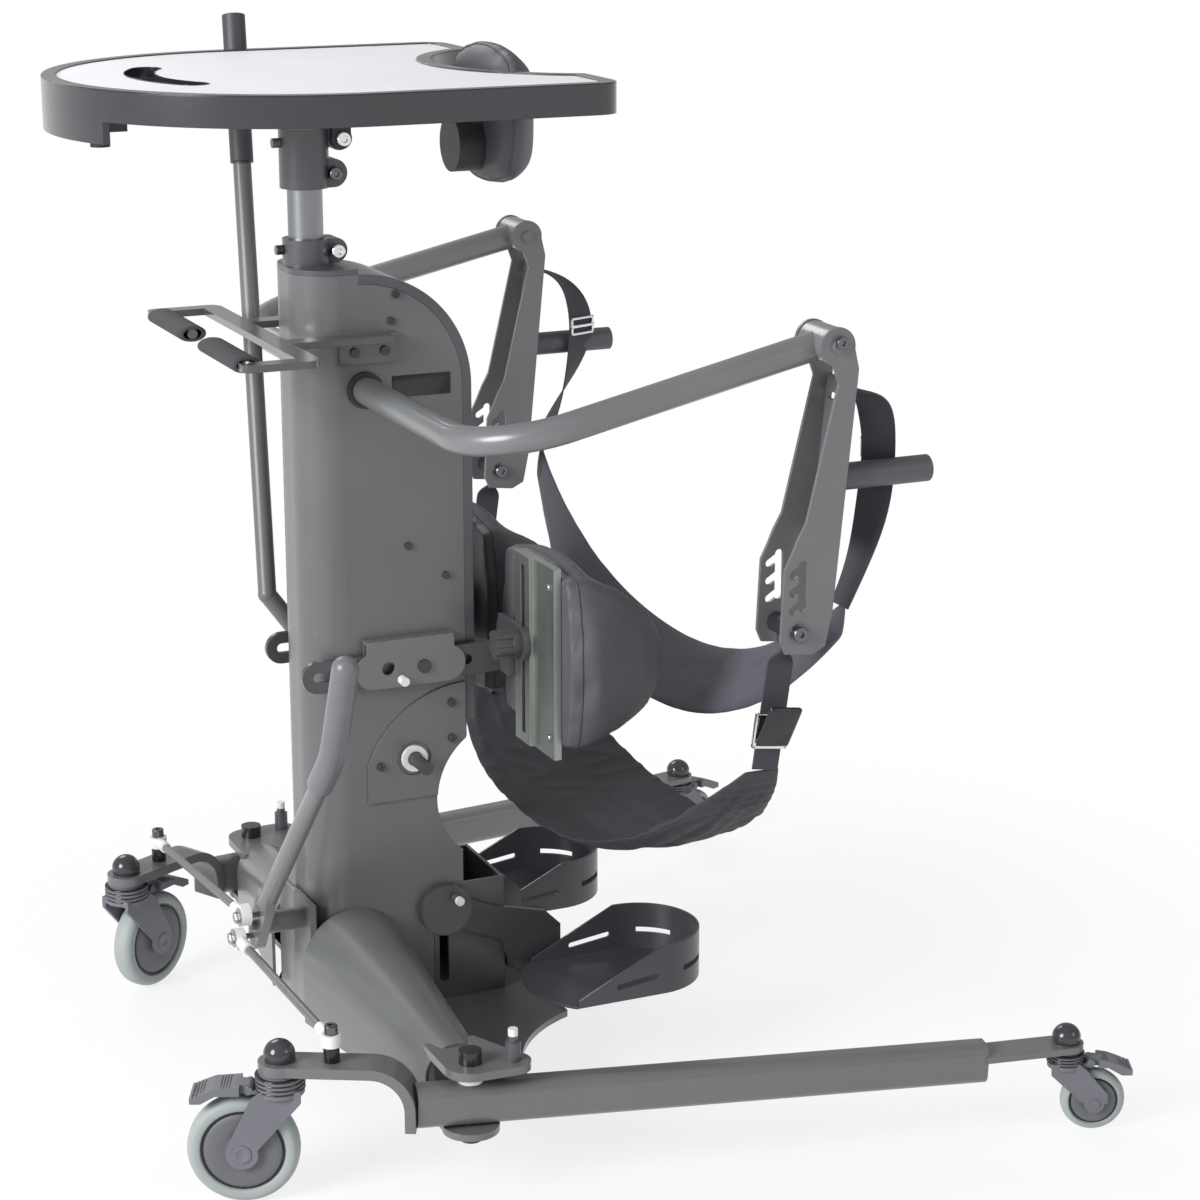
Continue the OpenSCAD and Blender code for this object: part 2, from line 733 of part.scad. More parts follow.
// Knee bar brackets
module knee_bar_brackets() {
    color(satin_grey) both_sides() difference() {
        union() {
            side(-mast_half - 2.4, -mast_half - gap)
                area([bracket_x0 + 14, bracket_low_z], [bracket_x1 - 14, bracket_top_z]);
            block([bracket_x0 + 14, -bracket_out_y - bracket_t, bracket_top_z - 4],
                [bracket_x1 - 14, -mast_half - gap, bracket_top_z]);
            side(-bracket_out_y - bracket_t, -bracket_out_y) {
                area([bracket_x0 + 14, knee_bar_z], [bracket_x1 - 14, bracket_top_z]);
                slot([bracket_x0 + 22, knee_bar_z], [bracket_x1 - 22, knee_bar_z], 44);
            }
        }
        bar_y(knee_bolt_x, -bracket_out_y - 10, -mast_half, knee_bar_z, knee_slot_h);
        bar_y(knee_pin_at.x, -bracket_out_y - 10, -bar_out_y, knee_pin_at[1], pull_pin_d + 2 * run);
        bar_y(30, -bracket_out_y - 10, -bar_out_y, knee_bar_z + 2, 16);
    }
}

// Slotted post behind the mast that carries the foot supports
module foot_post() {
    color(black) difference() {
        union() {
            both_sides() side(-mast_half, -mast_half + post_t)
                area([post_x, plate_top_z + gap / 2], [post_rear_x, mast_foot_z - 2]);
            block([post_rear_x - post_t, -mast_half + 1, plate_top_z + gap / 2],
                [post_rear_x, mast_half - 1, mast_foot_z - 2]);
        }
        side(-mast_half - 1, mast_half + 1)
            slot([foot_slot_x, foot_slot_low_z], [foot_slot_x, foot_bolt_z + 18], foot_slot_w);
    }
}

// Legs
module arm_profile() {
    translate([arm_bend_out, front_plate_top_z - arm_bend_out]) difference() {
        intersection() {
            circle(arm_bend_out);
            area([-arm_bend_out, 0], [0, arm_bend_out]);
        }
        circle(arm_bend_out - caster_plate_t);
    }
    area([0, leg_z + 2], [caster_plate_t, front_plate_top_z - arm_bend_out]);
    area([arm_bend_out, front_top_z], [arm_run, front_plate_top_z]);
}
module leg_tube() {
    len = leg_len - leg_tab_len - leg_tube_front;
    difference() {
        translate([0, 0, leg_z + leg_h / 2]) rotate([0, leg_slope, 0]) difference() {
            section(leg_tube_front, leg_tube_front + len) round_rect(leg_w, leg_h, 13);
            for (span = [[leg_tube_front + leg_wall, -16], [14, leg_tube_front + len - leg_wall]])
                section(span[0], span[1]) round_rect(leg_w - 2 * leg_wall, leg_h - 2 * leg_wall, 10);
            for (a = [-34, 60, leg_len - leg_tab_len - 40])
                translate([a, 0, -leg_h / 2 - 1]) cylinder(h = leg_wall + 3, d = 10);
        }
        translate([0, 0, leg_z - 3]) cylinder(h = leg_h + 6, d = pivot_bolt_d + 2 * run);
        translate([0, 0, leg_top_z]) cylinder(h = 6, r = 15);
    }
}
module dome_cap(r, h) {
    cylinder(h = h * 0.45, r = r);
    translate([0, 0, h * 0.45]) intersection() {
        translate([0, 0, h * 0.55 - (r * r + pow(h * 0.55, 2)) / (2 * h * 0.55)])
            sphere(r = (r * r + pow(h * 0.55, 2)) / (2 * h * 0.55));
        cylinder(h = h, r = r);
    }
}
module left_leg() {
    color(satin_grey) translate([0, -pivot_y, 0]) rotate(-leg_spread) {
        difference() {
            union() {
                leg_tube();
                translate([leg_tube_front, 0, 0]) rotate(arm_angle) {
                    translate([-3, 0, 0]) side(-arm_plate_w / 2, arm_plate_w / 2) arm_profile();
                    translate([arm_run, 0, front_top_z])
                        cylinder(h = caster_plate_t, r = arm_plate_w / 2 + 2);
                }
                translate([leg_len - leg_tab_len - 3, -20, rear_top_z])
                    cube([leg_tab_len + 3, 40, rear_plate_t]);
                translate([leg_len, 0, rear_top_z]) cylinder(h = rear_plate_t, r = 20);
                translate([on_arm(stud_run).x, on_arm(stud_run).y, front_plate_top_z - 1]) {
                    cylinder(h = stud_top_z - front_plate_top_z + 1, r = stud_r);
                    cylinder(h = stud_top_z - front_plate_top_z + rod_end_h + 2, d = stud_pin_d);
                }
            }
            translate([front_stem_a, front_stem_b, front_top_z - 1])
                cylinder(h = 30, d = axle_d + 2 * run);
            translate([leg_len, 0, rear_top_z - 1]) cylinder(h = 30, d = axle_d + 2 * run);
        }
        translate([on_arm(stud_run).x, on_arm(stud_run).y, stud_top_z + rod_end_h + 1.2])
            cylinder(h = 7, r = 7);
        translate([front_stem_a, front_stem_b, front_plate_top_z + gap / 2]) dome_cap(17, 24);
        translate([leg_len, 0, rear_plate_top_z + gap / 2]) dome_cap(16, 22);
    }
}
module right_leg() {
    mirror([0, 1, 0]) left_leg();
}

// Casters, drawn at their stem with the wheel trailing along +X
module fork(r, w, trail, top, crown_r) {
    crown_z = 2 * r + 4;
    side_in = w / 2 + 1.5;
    side_t = 5;
    pin_x = crown_r + 7;
    pin_z = crown_z + 6;
    color(steel) {
        translate([0, 0, crown_z]) cylinder(h = top - gap - crown_z - 3, r = crown_r);
        translate([0, 0, crown_z]) cylinder(h = top - gap - crown_z, r = crown_r - 4);
        translate([0, 0, crown_z]) cylinder(h = top - crown_z + 8, d = axle_d);
        block([-crown_r + 3, -side_in - side_t, crown_z], [trail * 0.42, side_in + side_t, crown_z + 8]);
        for (s = [-1, 1]) {
            y = s * (side_in + side_t / 2);
            side(y - side_t / 2, y + side_t / 2) {
                polygon([
                    [-crown_r + 3, crown_z + 8], [-crown_r + 3, crown_z - 6], [trail - 15, r + 2],
                    [trail + 15, r], [trail + 15, r + 12],
                    [trail * 0.72, crown_z - 1], [trail * 0.42, crown_z + 8]]);
                translate([trail, r]) circle(16 * r / 62.5 + 2);
            }
        }
        for (s = [-1, 1]) {
            y = s * (w / 2 - 3);
            side(y - 2, y + 2) {
                area([crown_r - 4, crown_z + 2], [pin_x, pin_z]);
                translate([pin_x, pin_z]) circle(5);
            }
        }
        bar_y(pin_x, -w / 2 + 2, w / 2 - 2, pin_z, 6);
        bar_y(trail, -side_in - side_t, side_in + side_t, r, axle_d);
    }
}
module wheel(r, w, trail) {
    hub_r = r * 0.752;
    color(tyre_grey) translate([trail, w / 2, r]) rotate([90, 0, 0]) {
        rotate_extrude($fn = 64) difference() {
            union() {
                area([hub_r + 0.15, 2], [r - 5, w - 2]);
                area([hub_r + 0.15, 5], [r - 1, w - 5]);
                translate([r - 9, w / 2]) intersection() {
                    scale(1) circle(w / 2 - 1);
                    area([-50, -w / 2 + 3], [9, w / 2 - 3]);
                }
            }
            area([0, -1], [hub_r + 0.15, w + 1]);
        }
        rotate_extrude($fn = 64) difference() {
            area([axle_d / 2 + run, 1], [hub_r, w - 1]);
            area([r * 0.34, -1], [hub_r - 6, 6]);
            area([r * 0.34, w - 6], [hub_r - 6, w + 1]);
        }
    }
}
module pedal(r, w, crown_r, tip, half) {
    crown_z = 2 * r + 4;
    pin_x = crown_r + 7;
    pin_z = crown_z + 6;
    root = w / 2 - 5 - gap;
    color(black) difference() {
        union() {
            bar_y(pin_x, -root, root, pin_z, 12);
            block([pin_x, -root, pin_z - 4], [pin_x + 14, root, pin_z + 6]);
            side(-half, half) polygon([
                [pin_x + 9, pin_z - 4], [pin_x + 9, pin_z + 6], [tip - 26, pin_z + 4], [tip, pin_z - 6],
                [tip, pin_z - 13], [tip - 12, pin_z - 13], [tip - 28, pin_z - 4]]);
        }
        bar_y(pin_x, -w, w, pin_z, 6 + 2 * run);
        for (x = [tip - 8, tip - 4]) bar_y(x, -half - 1, half + 1, pin_z - 3 - (x - tip + 8) * 0.4, 1.6);
    }
}
module at_front_left() {
    translate([front_stem.x, front_stem.y, 0]) rotate(front_left_turn) children();
}
module at_front_right() {
    translate([front_stem.x, -front_stem.y, 0]) rotate(front_right_turn) children();
}
module at_rear_left() {
    translate([rear_stem.x, rear_stem.y, 0]) rotate(-rear_turn) children();
}
module at_rear_right() {
    translate([rear_stem.x, -rear_stem.y, 0]) rotate(rear_turn) children();
}
module front_fork() {
    fork(front_wheel_r, front_wheel_w, front_trail, front_top_z, front_crown_r);
}
module rear_fork() {
    fork(rear_wheel_r, rear_wheel_w, rear_trail, rear_top_z, rear_crown_r);
}
module front_wheel() {
    wheel(front_wheel_r, front_wheel_w, front_trail);
}
module rear_wheel() {
    wheel(rear_wheel_r, rear_wheel_w, rear_trail);
}
module front_pedal() {
    pedal(front_wheel_r, front_wheel_w, front_crown_r, front_pedal_tip, 20);
}
module rear_pedal() {
    pedal(rear_wheel_r, rear_wheel_w, rear_crown_r, rear_pedal_tip, rear_pedal_half);
}
module front_left_fork() { at_front_left() front_fork(); }
module front_right_fork() { at_front_right() front_fork(); }
module rear_left_fork() { at_rear_left() rear_fork(); }
module rear_right_fork() { at_rear_right() rear_fork(); }
module front_left_wheel() { at_front_left() front_wheel(); }
module front_right_wheel() { at_front_right() front_wheel(); }
module rear_left_wheel() { at_rear_left() rear_wheel(); }
module rear_right_wheel() { at_rear_right() rear_wheel(); }
module front_left_pedal() { at_front_left() front_pedal(); }
module front_right_pedal() { at_front_right() front_pedal(); }
module rear_left_pedal() { at_rear_left() rear_pedal(); }
module rear_right_pedal() { at_rear_right() rear_pedal(); }

// Spread lever, drawn upright at its pivot, then leaned to the left
lever_root_at = [0, 0, 40];
lever_bend_at = [lever_bend.x - lever_x, -lever_bow, lever_bend[1]];
lever_top_at = lever_bend_at
    + lever_top * [0, -sin(lever_grip_lean - lever_lean), cos(lever_grip_lean - lever_lean)];
lever_tube_top = lever_bend_at + (lever_top_at - lever_bend_at) * 0.9;
module at_lever() {
    translate([lever_x, -lever_y, lever_z]) rotate([lever_lean, 0, 0]) children();
}
module spread_lever() {
    color(pale_grey) at_lever() difference() {
        union() {
            translate([-lever_hub_t / 2 + gap, 0, 0]) section(0, lever_hub_t - 2 * gap) {
                slot([0, -stud_arm], [0, 46], 34);
            }
            rod(lever_root_at, lever_bend_at, lever_tube_d);
            translate(lever_bend_at) sphere(d = lever_tube_d + 1);
            rod(lever_bend_at, lever_tube_top, lever_tube_d);
            for (s = [-1, 1]) bar_x(-lever_hub_t / 2 - 26, 0, 0, s * stud_arm, 7);
        }
        bar_x(-lever_hub_t, lever_hub_t, 0, 0, lever_pin_d + 2 * run);
    }
}
module spread_grip() {
    down = (lever_root_at - lever_bend_at) / norm(lever_root_at - lever_bend_at);
    out = grip_d / 2;
    bore_d = lever_tube_d + 2 * run;
    color(black) at_lever() difference() {
        union() {
            rod(lever_bend_at + down * lever_sleeve, lever_bend_at, grip_d);
            translate(lever_bend_at) sphere(d = grip_d + 1);
            translate(lever_bend_at) rotate([lever_grip_lean - lever_lean, 0, 0]) rotate_extrude() {
                area([0, 0], [out, lever_top]);
                intersection() {
                    translate([0, lever_top]) circle(out);
                    area([0, lever_top - 1], [out, lever_top + out]);
                }
            }
        }
        rod(lever_bend_at + down * (lever_sleeve + 1), lever_bend_at, bore_d);
        translate(lever_bend_at) sphere(d = bore_d + 1);
        rod(lever_bend_at, lever_tube_top + [0, 0, run], bore_d);
    }
}

// Tie rods from the leg studs to the lever studs
rod_eye_x = lever_x - lever_hub_t / 2 - 17;
stud_side = stud_arm * sin(lever_lean);
stud_rise = stud_arm * (1 + cos(lever_lean)) / 2;
module tie_rod(to) {
    from = [leg_stud.x, leg_stud.y, stud_top_z + rod_end_h / 2 + 0.6];
    v = (to - from) / norm(to - from);
    color(steel) difference() {
        union() {
            translate(from - [0, 0, rod_end_h / 2]) cylinder(h = rod_end_h, r = 11);
            rod(from + v * 9, to - v * 11, 10);
            rod(from + v * 8, from + v * 36, 14);
            rod(to - v * 38, to - v * 10, 14);
            bar_x(to.x - 6, to.x + 6, to.y, to.z, 26);
        }
        translate(from - [0, 0, rod_end_h]) cylinder(h = 2 * rod_end_h, d = stud_pin_d + 2 * run);
        bar_x(to.x - 7, to.x + 7, to.y, to.z, 16);
    }
}
module left_tie_rod() {
    tie_rod([rod_eye_x, -lever_y + stud_side, lever_z - stud_rise]);
}
module right_tie_rod() {
    mirror([0, 1, 0]) tie_rod([rod_eye_x, lever_y + stud_side, lever_z + stud_rise]);
}

// Lift shaft with its crank, and the two bent arms
module lift_shaft() {
    color(steel) {
        difference() {
            union() {
                bar_y(lift_x, -shaft_half, shaft_half, lift_z, arm_d);
                side(-crank_w / 2, crank_w / 2)
                    slot([lift_x, lift_z], [lift_x + crank_len, lift_z], 2 * crank_r);
            }
            bar_y(lift_x, -shaft_half - 1, -crank_w, lift_z, arm_d - 2 * arm_wall);
            bar_y(lift_x, crank_w, shaft_half + 1, lift_z, arm_d - 2 * arm_wall);
        }
    }
}
module arm_path(d) {
    bar_y(0, -arm_y + arm_bend_r, -shaft_half - gap / 2, 0, d);
    translate([arm_bend_r, -arm_y + arm_bend_r, 0]) rotate(180) rotate_extrude(angle = 90)
        translate([arm_bend_r, 0]) circle(d = d);
    bar_x(arm_bend_r, arm_len, -arm_y, 0, d);
}
module lift_arms() {
    color(pale_grey) both_sides() translate([lift_x, 0, lift_z]) rotate([0, -lift_rise, 0]) difference() {
        union() {
            arm_path(arm_d);
            bar_y(arm_len, -arm_y - yoke_gap / 2 + 1, -arm_y + yoke_gap / 2 - 1, 0, boss_d);
        }
        difference() {
            arm_path(arm_d - 2 * arm_wall);
            translate([arm_len - boss_d / 2 - 2, -arm_y - 50, -50]) cube(100);
        }
        bar_y(0, -shaft_half - 1, -shaft_half + 1, 0, arm_d - 2 * arm_wall);
        bar_y(arm_len, -arm_y - 60, -arm_y + 60, 0, yoke_pin_d + 2 * run);
    }
}

// Yokes
module yoke_outline() {
    x = yoke_at.x;
    z = yoke_at[1];
    b = yoke_back_x;
    low = roller_at[1];
    c = yoke_back(low + 20);
    translate([x, z]) circle(21);
    difference() {
        polygon([
            [x + 4, z + 20], [b - 6, z], [b, z - 26], [c, low + 20], [c - 8, low - 18], [c - 24, low - 26],
            [roller_at.x - 16, low - 22], [roller_at.x - 22, low - 8], [roller_at.x - 18, low + 72],
            [roller_at.x - 10, low + 88], [c - 44, low + 104], [c - 34, low + 122],
            [x + 2, z - 40], [x - 6, z - 18]
        ]);
        for (n = [0 : 2]) {
            notch = [roller_at.x - 8, low + 26 + 20 * n];
            slot(notch, notch + [11, 7], 9);
        }
        slot([roller_at.x + 4, low + 29], [roller_at.x + 4, low + 76], 10);
    }
}
module left_yoke() {
    y0 = -arm_y - yoke_out_w / 2;
    y1 = -arm_y + yoke_out_w / 2;
    web_top = yoke_at[1] - 40;
    web_low = roller_at[1] + 96;
    inset = 1.5;
    color(pale_grey) difference() {
        union() {
            side(y0, y0 + yoke_t) yoke_outline();
            side(y1 - yoke_t, y1) yoke_outline();
            side(y0 + 1, y1 - 1) polygon([
                [yoke_back(web_top) - inset - yoke_t, web_top], [yoke_back(web_top) - inset, web_top],
                [yoke_back(web_low) - inset, web_low], [yoke_back(web_low) - inset - yoke_t, web_low]]);
            bar_x(yoke_back(yoke_handle_z) - inset - yoke_t / 2, yoke_back_x + yoke_handle_len, -arm_y,
                yoke_handle_z, yoke_handle_d);
            bar_y(yoke_at.x, y0 - 4, y1 + 4, yoke_at[1], yoke_pin_d);
        }
        bar_y(roller_at.x, y0 - 10, y1 + 10, roller_at[1], 10 + 2 * run);
        block([yoke_back_x - 30, -arm_y - 20, web_top - 26], [yoke_back_x + 12, -arm_y + 20, web_top - 18]);
    }
}
module right_yoke() {
    mirror([0, 1, 0]) left_yoke();
}

// Strap rollers with their bolts, and the cam buckles
strap_lean = 8;
buckle_z = roller_at[1] - 100;
buckle_x = roller_at.x - (roller_at[1] - buckle_z) * tan(strap_lean);
module strap_hardware() {
    y0 = -arm_y - yoke_out_w / 2;
    y1 = -arm_y + yoke_out_w / 2;
    color(steel) both_sides() {
        bar_y(roller_at.x, y0 - 7, y1 + 7, roller_at[1], 10);
        ring_y(roller_at.x, -arm_y - yoke_gap / 2 + 2, -arm_y + yoke_gap / 2 - 2, roller_at[1],
            roller_d, 10 + 2 * run);
        translate([buckle_x, -arm_y, buckle_z]) rotate([0, strap_lean, 0]) difference() {
            translate([-8, -22, -17]) cube([16, 44, 34]);
            translate([-2, -17, -20]) cube([4, 34, 40]);
        }
    }
}

// Webbing straps between the yokes and the sling
web_t = 2.4;
web_w = 38;
strap_top = [yoke_back(yoke_at[1] - 62) + (web_t - 3) / 2 + gap, yoke_at[1] - 62];
strap_out = [yoke_back_x + 84, yoke_at[1] - 150];
strap_low = [yoke_back_x, yoke_at[1] - 296];
function upper_strap(f) = let (a = pow(1 - f, 2), b = 2 * f * (1 - f), c = f * f)
    a * strap_top + b * [strap_out.x + 24, strap_out[1] + 60] + c * strap_low;
module upper_path(d) {
    n = 14;
    polygon(concat(
        [for (i = [0 : n]) upper_strap(i / n) + [d, d * (1 - i / n)]],
        [for (i = [n : -1 : 0]) upper_strap(i / n) - [d, d * (1 - i / n)]]
    ));
}
module sling_straps() {
    lower_w = 32;
    color(black) both_sides() {
        difference() {
            side(-arm_y - web_w / 2, -arm_y + web_w / 2) upper_path(web_t / 2);
            bar_x(yoke_back_x, yoke_back_x + 200, -arm_y, yoke_handle_z, yoke_handle_d + 2);
        }
        translate([roller_at.x, -arm_y, roller_at[1]]) rotate([0, strap_lean, 0])
            translate([-web_t / 2, -lower_w / 2, -164]) cube([web_t, lower_w, 164 - roller_d / 2 - gap]);
    }
}

// Padded seat sling, hung between the lower straps
seat_n = 28;
seat_m = 12;
seat_end = [roller_at.x - 166 * sin(strap_lean), arm_y - 6, roller_at[1] - 166 * cos(strap_lean)];
seat_low_z = 272;
function seat_mid(s) = [
    seat_end.x - 10 * (1 - pow(abs(s), 2)),
    seat_end.y * pow_sign(s, 0.92),
    seat_low_z + (seat_end.z - seat_low_z) * pow(abs(s), 2.3)
];
function seat_half(s) = 102 - 82 * pow(abs(s), 2.6);
function seat_slope(s) =
    atan2(seat_mid(s + 0.02).z - seat_mid(s - 0.02).z, seat_mid(s + 0.02).y - seat_mid(s - 0.02).y);
function seat_thick(s, t) =
    3 + 11 * (1 - pow(abs(t), 6)) * (0.45 + 0.55 * abs(sin(270 * t + 90))) * (1 - pow(abs(s), 4));
function seat_point(s, t, up) = let (c = seat_mid(s), a = seat_slope(s)) [
    c.x + seat_half(s) * t,
    c.y - up * sin(a) * seat_thick(s, t) / 2,
    c.z + 16 * t * t * (1 - pow(abs(s), 2)) + up * cos(a) * seat_thick(s, t) / 2
];
module sling_seat() {
    grid = [for (i = [0 : seat_n], j = [0 : seat_m]) [2 * i / seat_n - 1, 2 * j / seat_m - 1]];
    color(pad_black) polyhedron(
        concat([for (g = grid) seat_point(g.x, g.y, 1)], [for (g = grid) seat_point(g.x, g.y, -1)]),
        sheet_faces(seat_n, seat_m));
}

// Padded back band, hung between the upper straps
back_n = 24;
back_m = 4;
back_low_z = 466;
function back_mid(s) = [
    strap_low.x + 3.5 - 30 * (1 - s * s),
    arm_y * pow_sign(s, 0.9),
    back_low_z + (strap_low[1] - 16 - back_low_z) * pow(abs(s), 2.2)
];
function back_half(s) = 46 - 26 * pow(abs(s), 3);
function back_tilt(s) = 40 + 45 * abs(s);
function back_thick(t) = 3 + 8 * (1 - pow(abs(t), 4));
function back_point(s, t, up) = let (c = back_mid(s), f = back_tilt(s)) [
    c.x + back_half(s) * t * cos(f) - up * sin(f) * back_thick(t) / 2,
    c.y,
    c.z + back_half(s) * t * sin(f) + up * cos(f) * back_thick(t) / 2
];
module sling_back() {
    grid = [for (i = [0 : back_n], j = [0 : back_m]) [2 * i / back_n - 1, 2 * j / back_m - 1]];
    color(pad_black) polyhedron(
        concat([for (g = grid) back_point(g.x, g.y, 1)], [for (g = grid) back_point(g.x, g.y, -1)]),
        sheet_faces(back_n, back_m));
}

// Tray column and tilt head
module tray_column() {
    color(pale_grey) translate([column_x, 0, column_low_z]) difference() {
        cylinder(h = column_top_z - column_low_z, d = column_d);
        translate([0, 0, -1]) cylinder(h = column_top_z - column_low_z - 20, d = column_d - 8);
    }
}
module tray_head() {
    out_r = column_d / 2 + 8;
    low_bolt_z = head_low_z + 16;
    color(black) {
        difference() {
            union() {
                translate([column_x, 0, head_low_z]) cylinder(h = head_top_z - head_low_z, r = out_r);
                block([column_x, -15, head_low_z], [clamp_bolt_x, 15, head_low_z + 32]);
                bar_y(clamp_bolt_x, -15, 15, low_bolt_z, 32);
                side(-tilt_tongue_half, tilt_tongue_half) {
                    polygon([[column_x, head_low_z + 36], [column_x, head_top_z],
                        [tilt_x, tilt_z + 14], [tilt_x + 14, tilt_z]]);
                    translate([tilt_x, tilt_z]) circle(14);
                }
            }
            translate([column_x, 0, head_low_z - 1])
                cylinder(h = column_top_z - head_low_z + 1 + gap, d = column_d + 2 * run);
            block([column_x + 1, -1.5, head_low_z - 1], [clamp_bolt_x + 30, 1.5, head_low_z + 33]);
            bar_y(clamp_bolt_x, -40, 40, low_bolt_z, clamp_bolt_d + 2 * run);
            bar_y(tilt_x, -40, 40, tilt_z, tilt_pin_d + 2 * run);
        }
        bar_y(clamp_bolt_x, -22, 22, low_bolt_z, clamp_bolt_d);
        bar_x(column_x - out_r - 9, column_x - out_r - gap / 2, 0, head_top_z - 16, 11);
    }
}

// Tray
module tray_outline(inset) {
    r = 30;
    difference() {
        union() {
            intersection() {
                translate([tray_mid_x, 0]) circle(tray_half - inset, $fn = 96);
                area([tray_mid_x - 400, -400], [tray_mid_x, 400]);
            }
            area([tray_mid_x - 0.01, -tray_half + inset], [tray_rear_x - r, tray_half - inset]);
            area([tray_mid_x, -tray_half + r], [tray_rear_x - inset, tray_half - r]);
            for (s = [-1, 1]) translate([tray_rear_x - r, s * (tray_half - r)]) circle(r - inset);
        }
        translate([cutout_x, 0]) circle(cutout_r + inset, $fn = 96);
    }
}
// Curved hand slot behind the front of the tray
module hand_slot(w) {
    slot_r = 168;
    slot_turn = 33;
    slot_spread = 300 * tan(slot_turn);
    intersection() {
        difference() {
            translate([tray_mid_x, 0]) circle(slot_r + w / 2);
            translate([tray_mid_x, 0]) circle(slot_r - w / 2);
        }
        polygon([[tray_mid_x, 0], [tray_mid_x - 300, -slot_spread], [tray_mid_x - 300, slot_spread]]);
    }
    for (s = [-1, 1]) translate([tray_mid_x - slot_r * cos(slot_turn), s * slot_r * sin(slot_turn)])
        circle(w / 2);
}
module tray_rim() {
    ledge = 10;
    color(black) {
        difference() {
            union() {
                translate([0, 0, rim_low_z]) linear_extrude(rim_h) difference() {
                    tray_outline(0);
                    tray_outline(rim_w);
                }
                translate([0, 0, rim_low_z]) linear_extrude(panel_low_z - gap - rim_low_z) difference() {
                    tray_outline(rim_w - 1);
                    tray_outline(rim_w + ledge);
                }
                translate([0, 0, rim_low_z - 24]) linear_extrude(25) intersection() {
                    difference() {
                        translate([tray_mid_x, 0]) circle(tray_half, $fn = 96);
                        translate([tray_mid_x, 0]) circle(tray_half - 9, $fn = 96);
                    }
                    polygon([[tray_mid_x, 0], [tray_mid_x - 400, -190], [tray_mid_x - 400, 190]]);
                }
            }
            translate([0, 0, tray_z - 1]) linear_extrude(2) difference() {
                translate([-400, -400]) square(800);
                tray_outline(1);
            }
        }
    }
}
module tray_panel() {
    color(laminate) translate([0, 0, panel_low_z]) linear_extrude(panel_t) difference() {
        tray_outline(rim_w + gap);
        hand_slot(34);
    }
}
module tray_mount() {
    lug_in = tilt_tongue_half + gap;
    latch_x = tray_front_x + rim_w + 14;
    cut_x = cutout_x - cutout_r - rim_w - 14;
    top = panel_low_z - gap / 2;
    color(black) {
        block([-110, -34, top - 20], [cut_x, 34, top]);
        for (s = [-1, 1]) side(s * (lug_in + 4) - 4, s * (lug_in + 4) + 4) {
            area([tilt_x - 11, tilt_z], [tilt_x + 11, top - 10]);
            translate([tilt_x, tilt_z]) circle(12);
        }
        bar_y(tilt_x, -lug_in - 14, lug_in + 14, tilt_z, tilt_pin_d);
        block([cut_x - 30, -16, rim_low_z - 14], [cut_x, 16, top - 10]);
        block([cut_x - 30, -16, rim_low_z - 14], [chest_back_x - 12, 16, rim_low_z - 3]);
        block([chest_back_x - 14, -22, chest_z - 30], [chest_back_x - gap, 22, rim_low_z - 3]);
        bar_x(chest_back_x - 32, chest_back_x - gap, 0, chest_z - 34, 64);
        // Latch block and knob under the front of the tray
        block([latch_x, -26, rim_low_z - 22], [latch_x + 48, 26, top]);
        translate([latch_x + 24, 0, rim_low_z - 40]) cylinder(h = 20, r = 11);
    }
}

// Chest pad at the user edge
function chest_rise(k, j) = let (p = pad_spot(k, j, 2, 2)) 16 + 40 * (1 - pow(ring_at(k), 3)) - 6 * p.x * p.x;
module chest_pad() {
    front = concat([[chest_back_x + 56, 0, chest_z]],
        [for (k = [1 : ring_count], j = [0 : turn_count - 1]) let (p = pad_spot(k, j, chest_w, chest_h))
            [chest_back_x + chest_rise(k, j), p.x, chest_z + p.y]]);
    back = [for (j = [0 : turn_count - 1]) let (p = pad_spot(ring_count, j, chest_w * 0.8, chest_h * 0.78))
        [chest_back_x, p.x, chest_z + p.y]];
    color(pad_black) cushion(front, back, [chest_back_x, 0, chest_z]);
}

// Knee bars
module left_knee_bar() {
    half = knee_bar_h / 2;
    cross_low = knee_bar_z - half;
    cross_top = knee_knob_z + 20;
    color(black) {
        difference() {
            union() {
                side(-bar_out_y, -bar_in_y) {
                    slot([knee_front_x + half, knee_bar_z], [knee_cross_x - half, knee_bar_z], knee_bar_h);
                    area([knee_cross_x - 40, cross_low], [knee_cross_x + knee_bar_t, cross_low + knee_bar_h]);
                }
                block([knee_cross_x, -bar_out_y - 26, cross_low],
                    [knee_cross_x + knee_bar_t, -bar_in_y, cross_top]);
                section(knee_cross_x, knee_cross_x + knee_bar_t)
                    slot([-bar_out_y - 8, knee_knob_z], [-rail_slot_y - 6, knee_knob_z], 40);
            }
            side(-bar_out_y - 1, -bar_in_y + 1)
                slot([knee_front_x + half, knee_bar_z], [knee_bolt_x + 56, knee_bar_z], knee_slot_h);
        }
        // Knob with its clamp bolt in the rail slot
        bar_x(knee_cross_x - 12, rail_x + 8, -rail_slot_y, knee_knob_z, 8);
        difference() {
            bar_x(knee_cross_x - 30, knee_cross_x - gap, -rail_slot_y, knee_knob_z, 34);
            for (n = [0 : 4]) translate([0, -rail_slot_y, knee_knob_z]) rotate([72 * n, 0, 0])
                bar_x(knee_cross_x - 31, knee_cross_x - 10, 0, 20, 14);
        }
    }
}
module right_knee_bar() {
    mirror([0, 1, 0]) left_knee_bar();
}
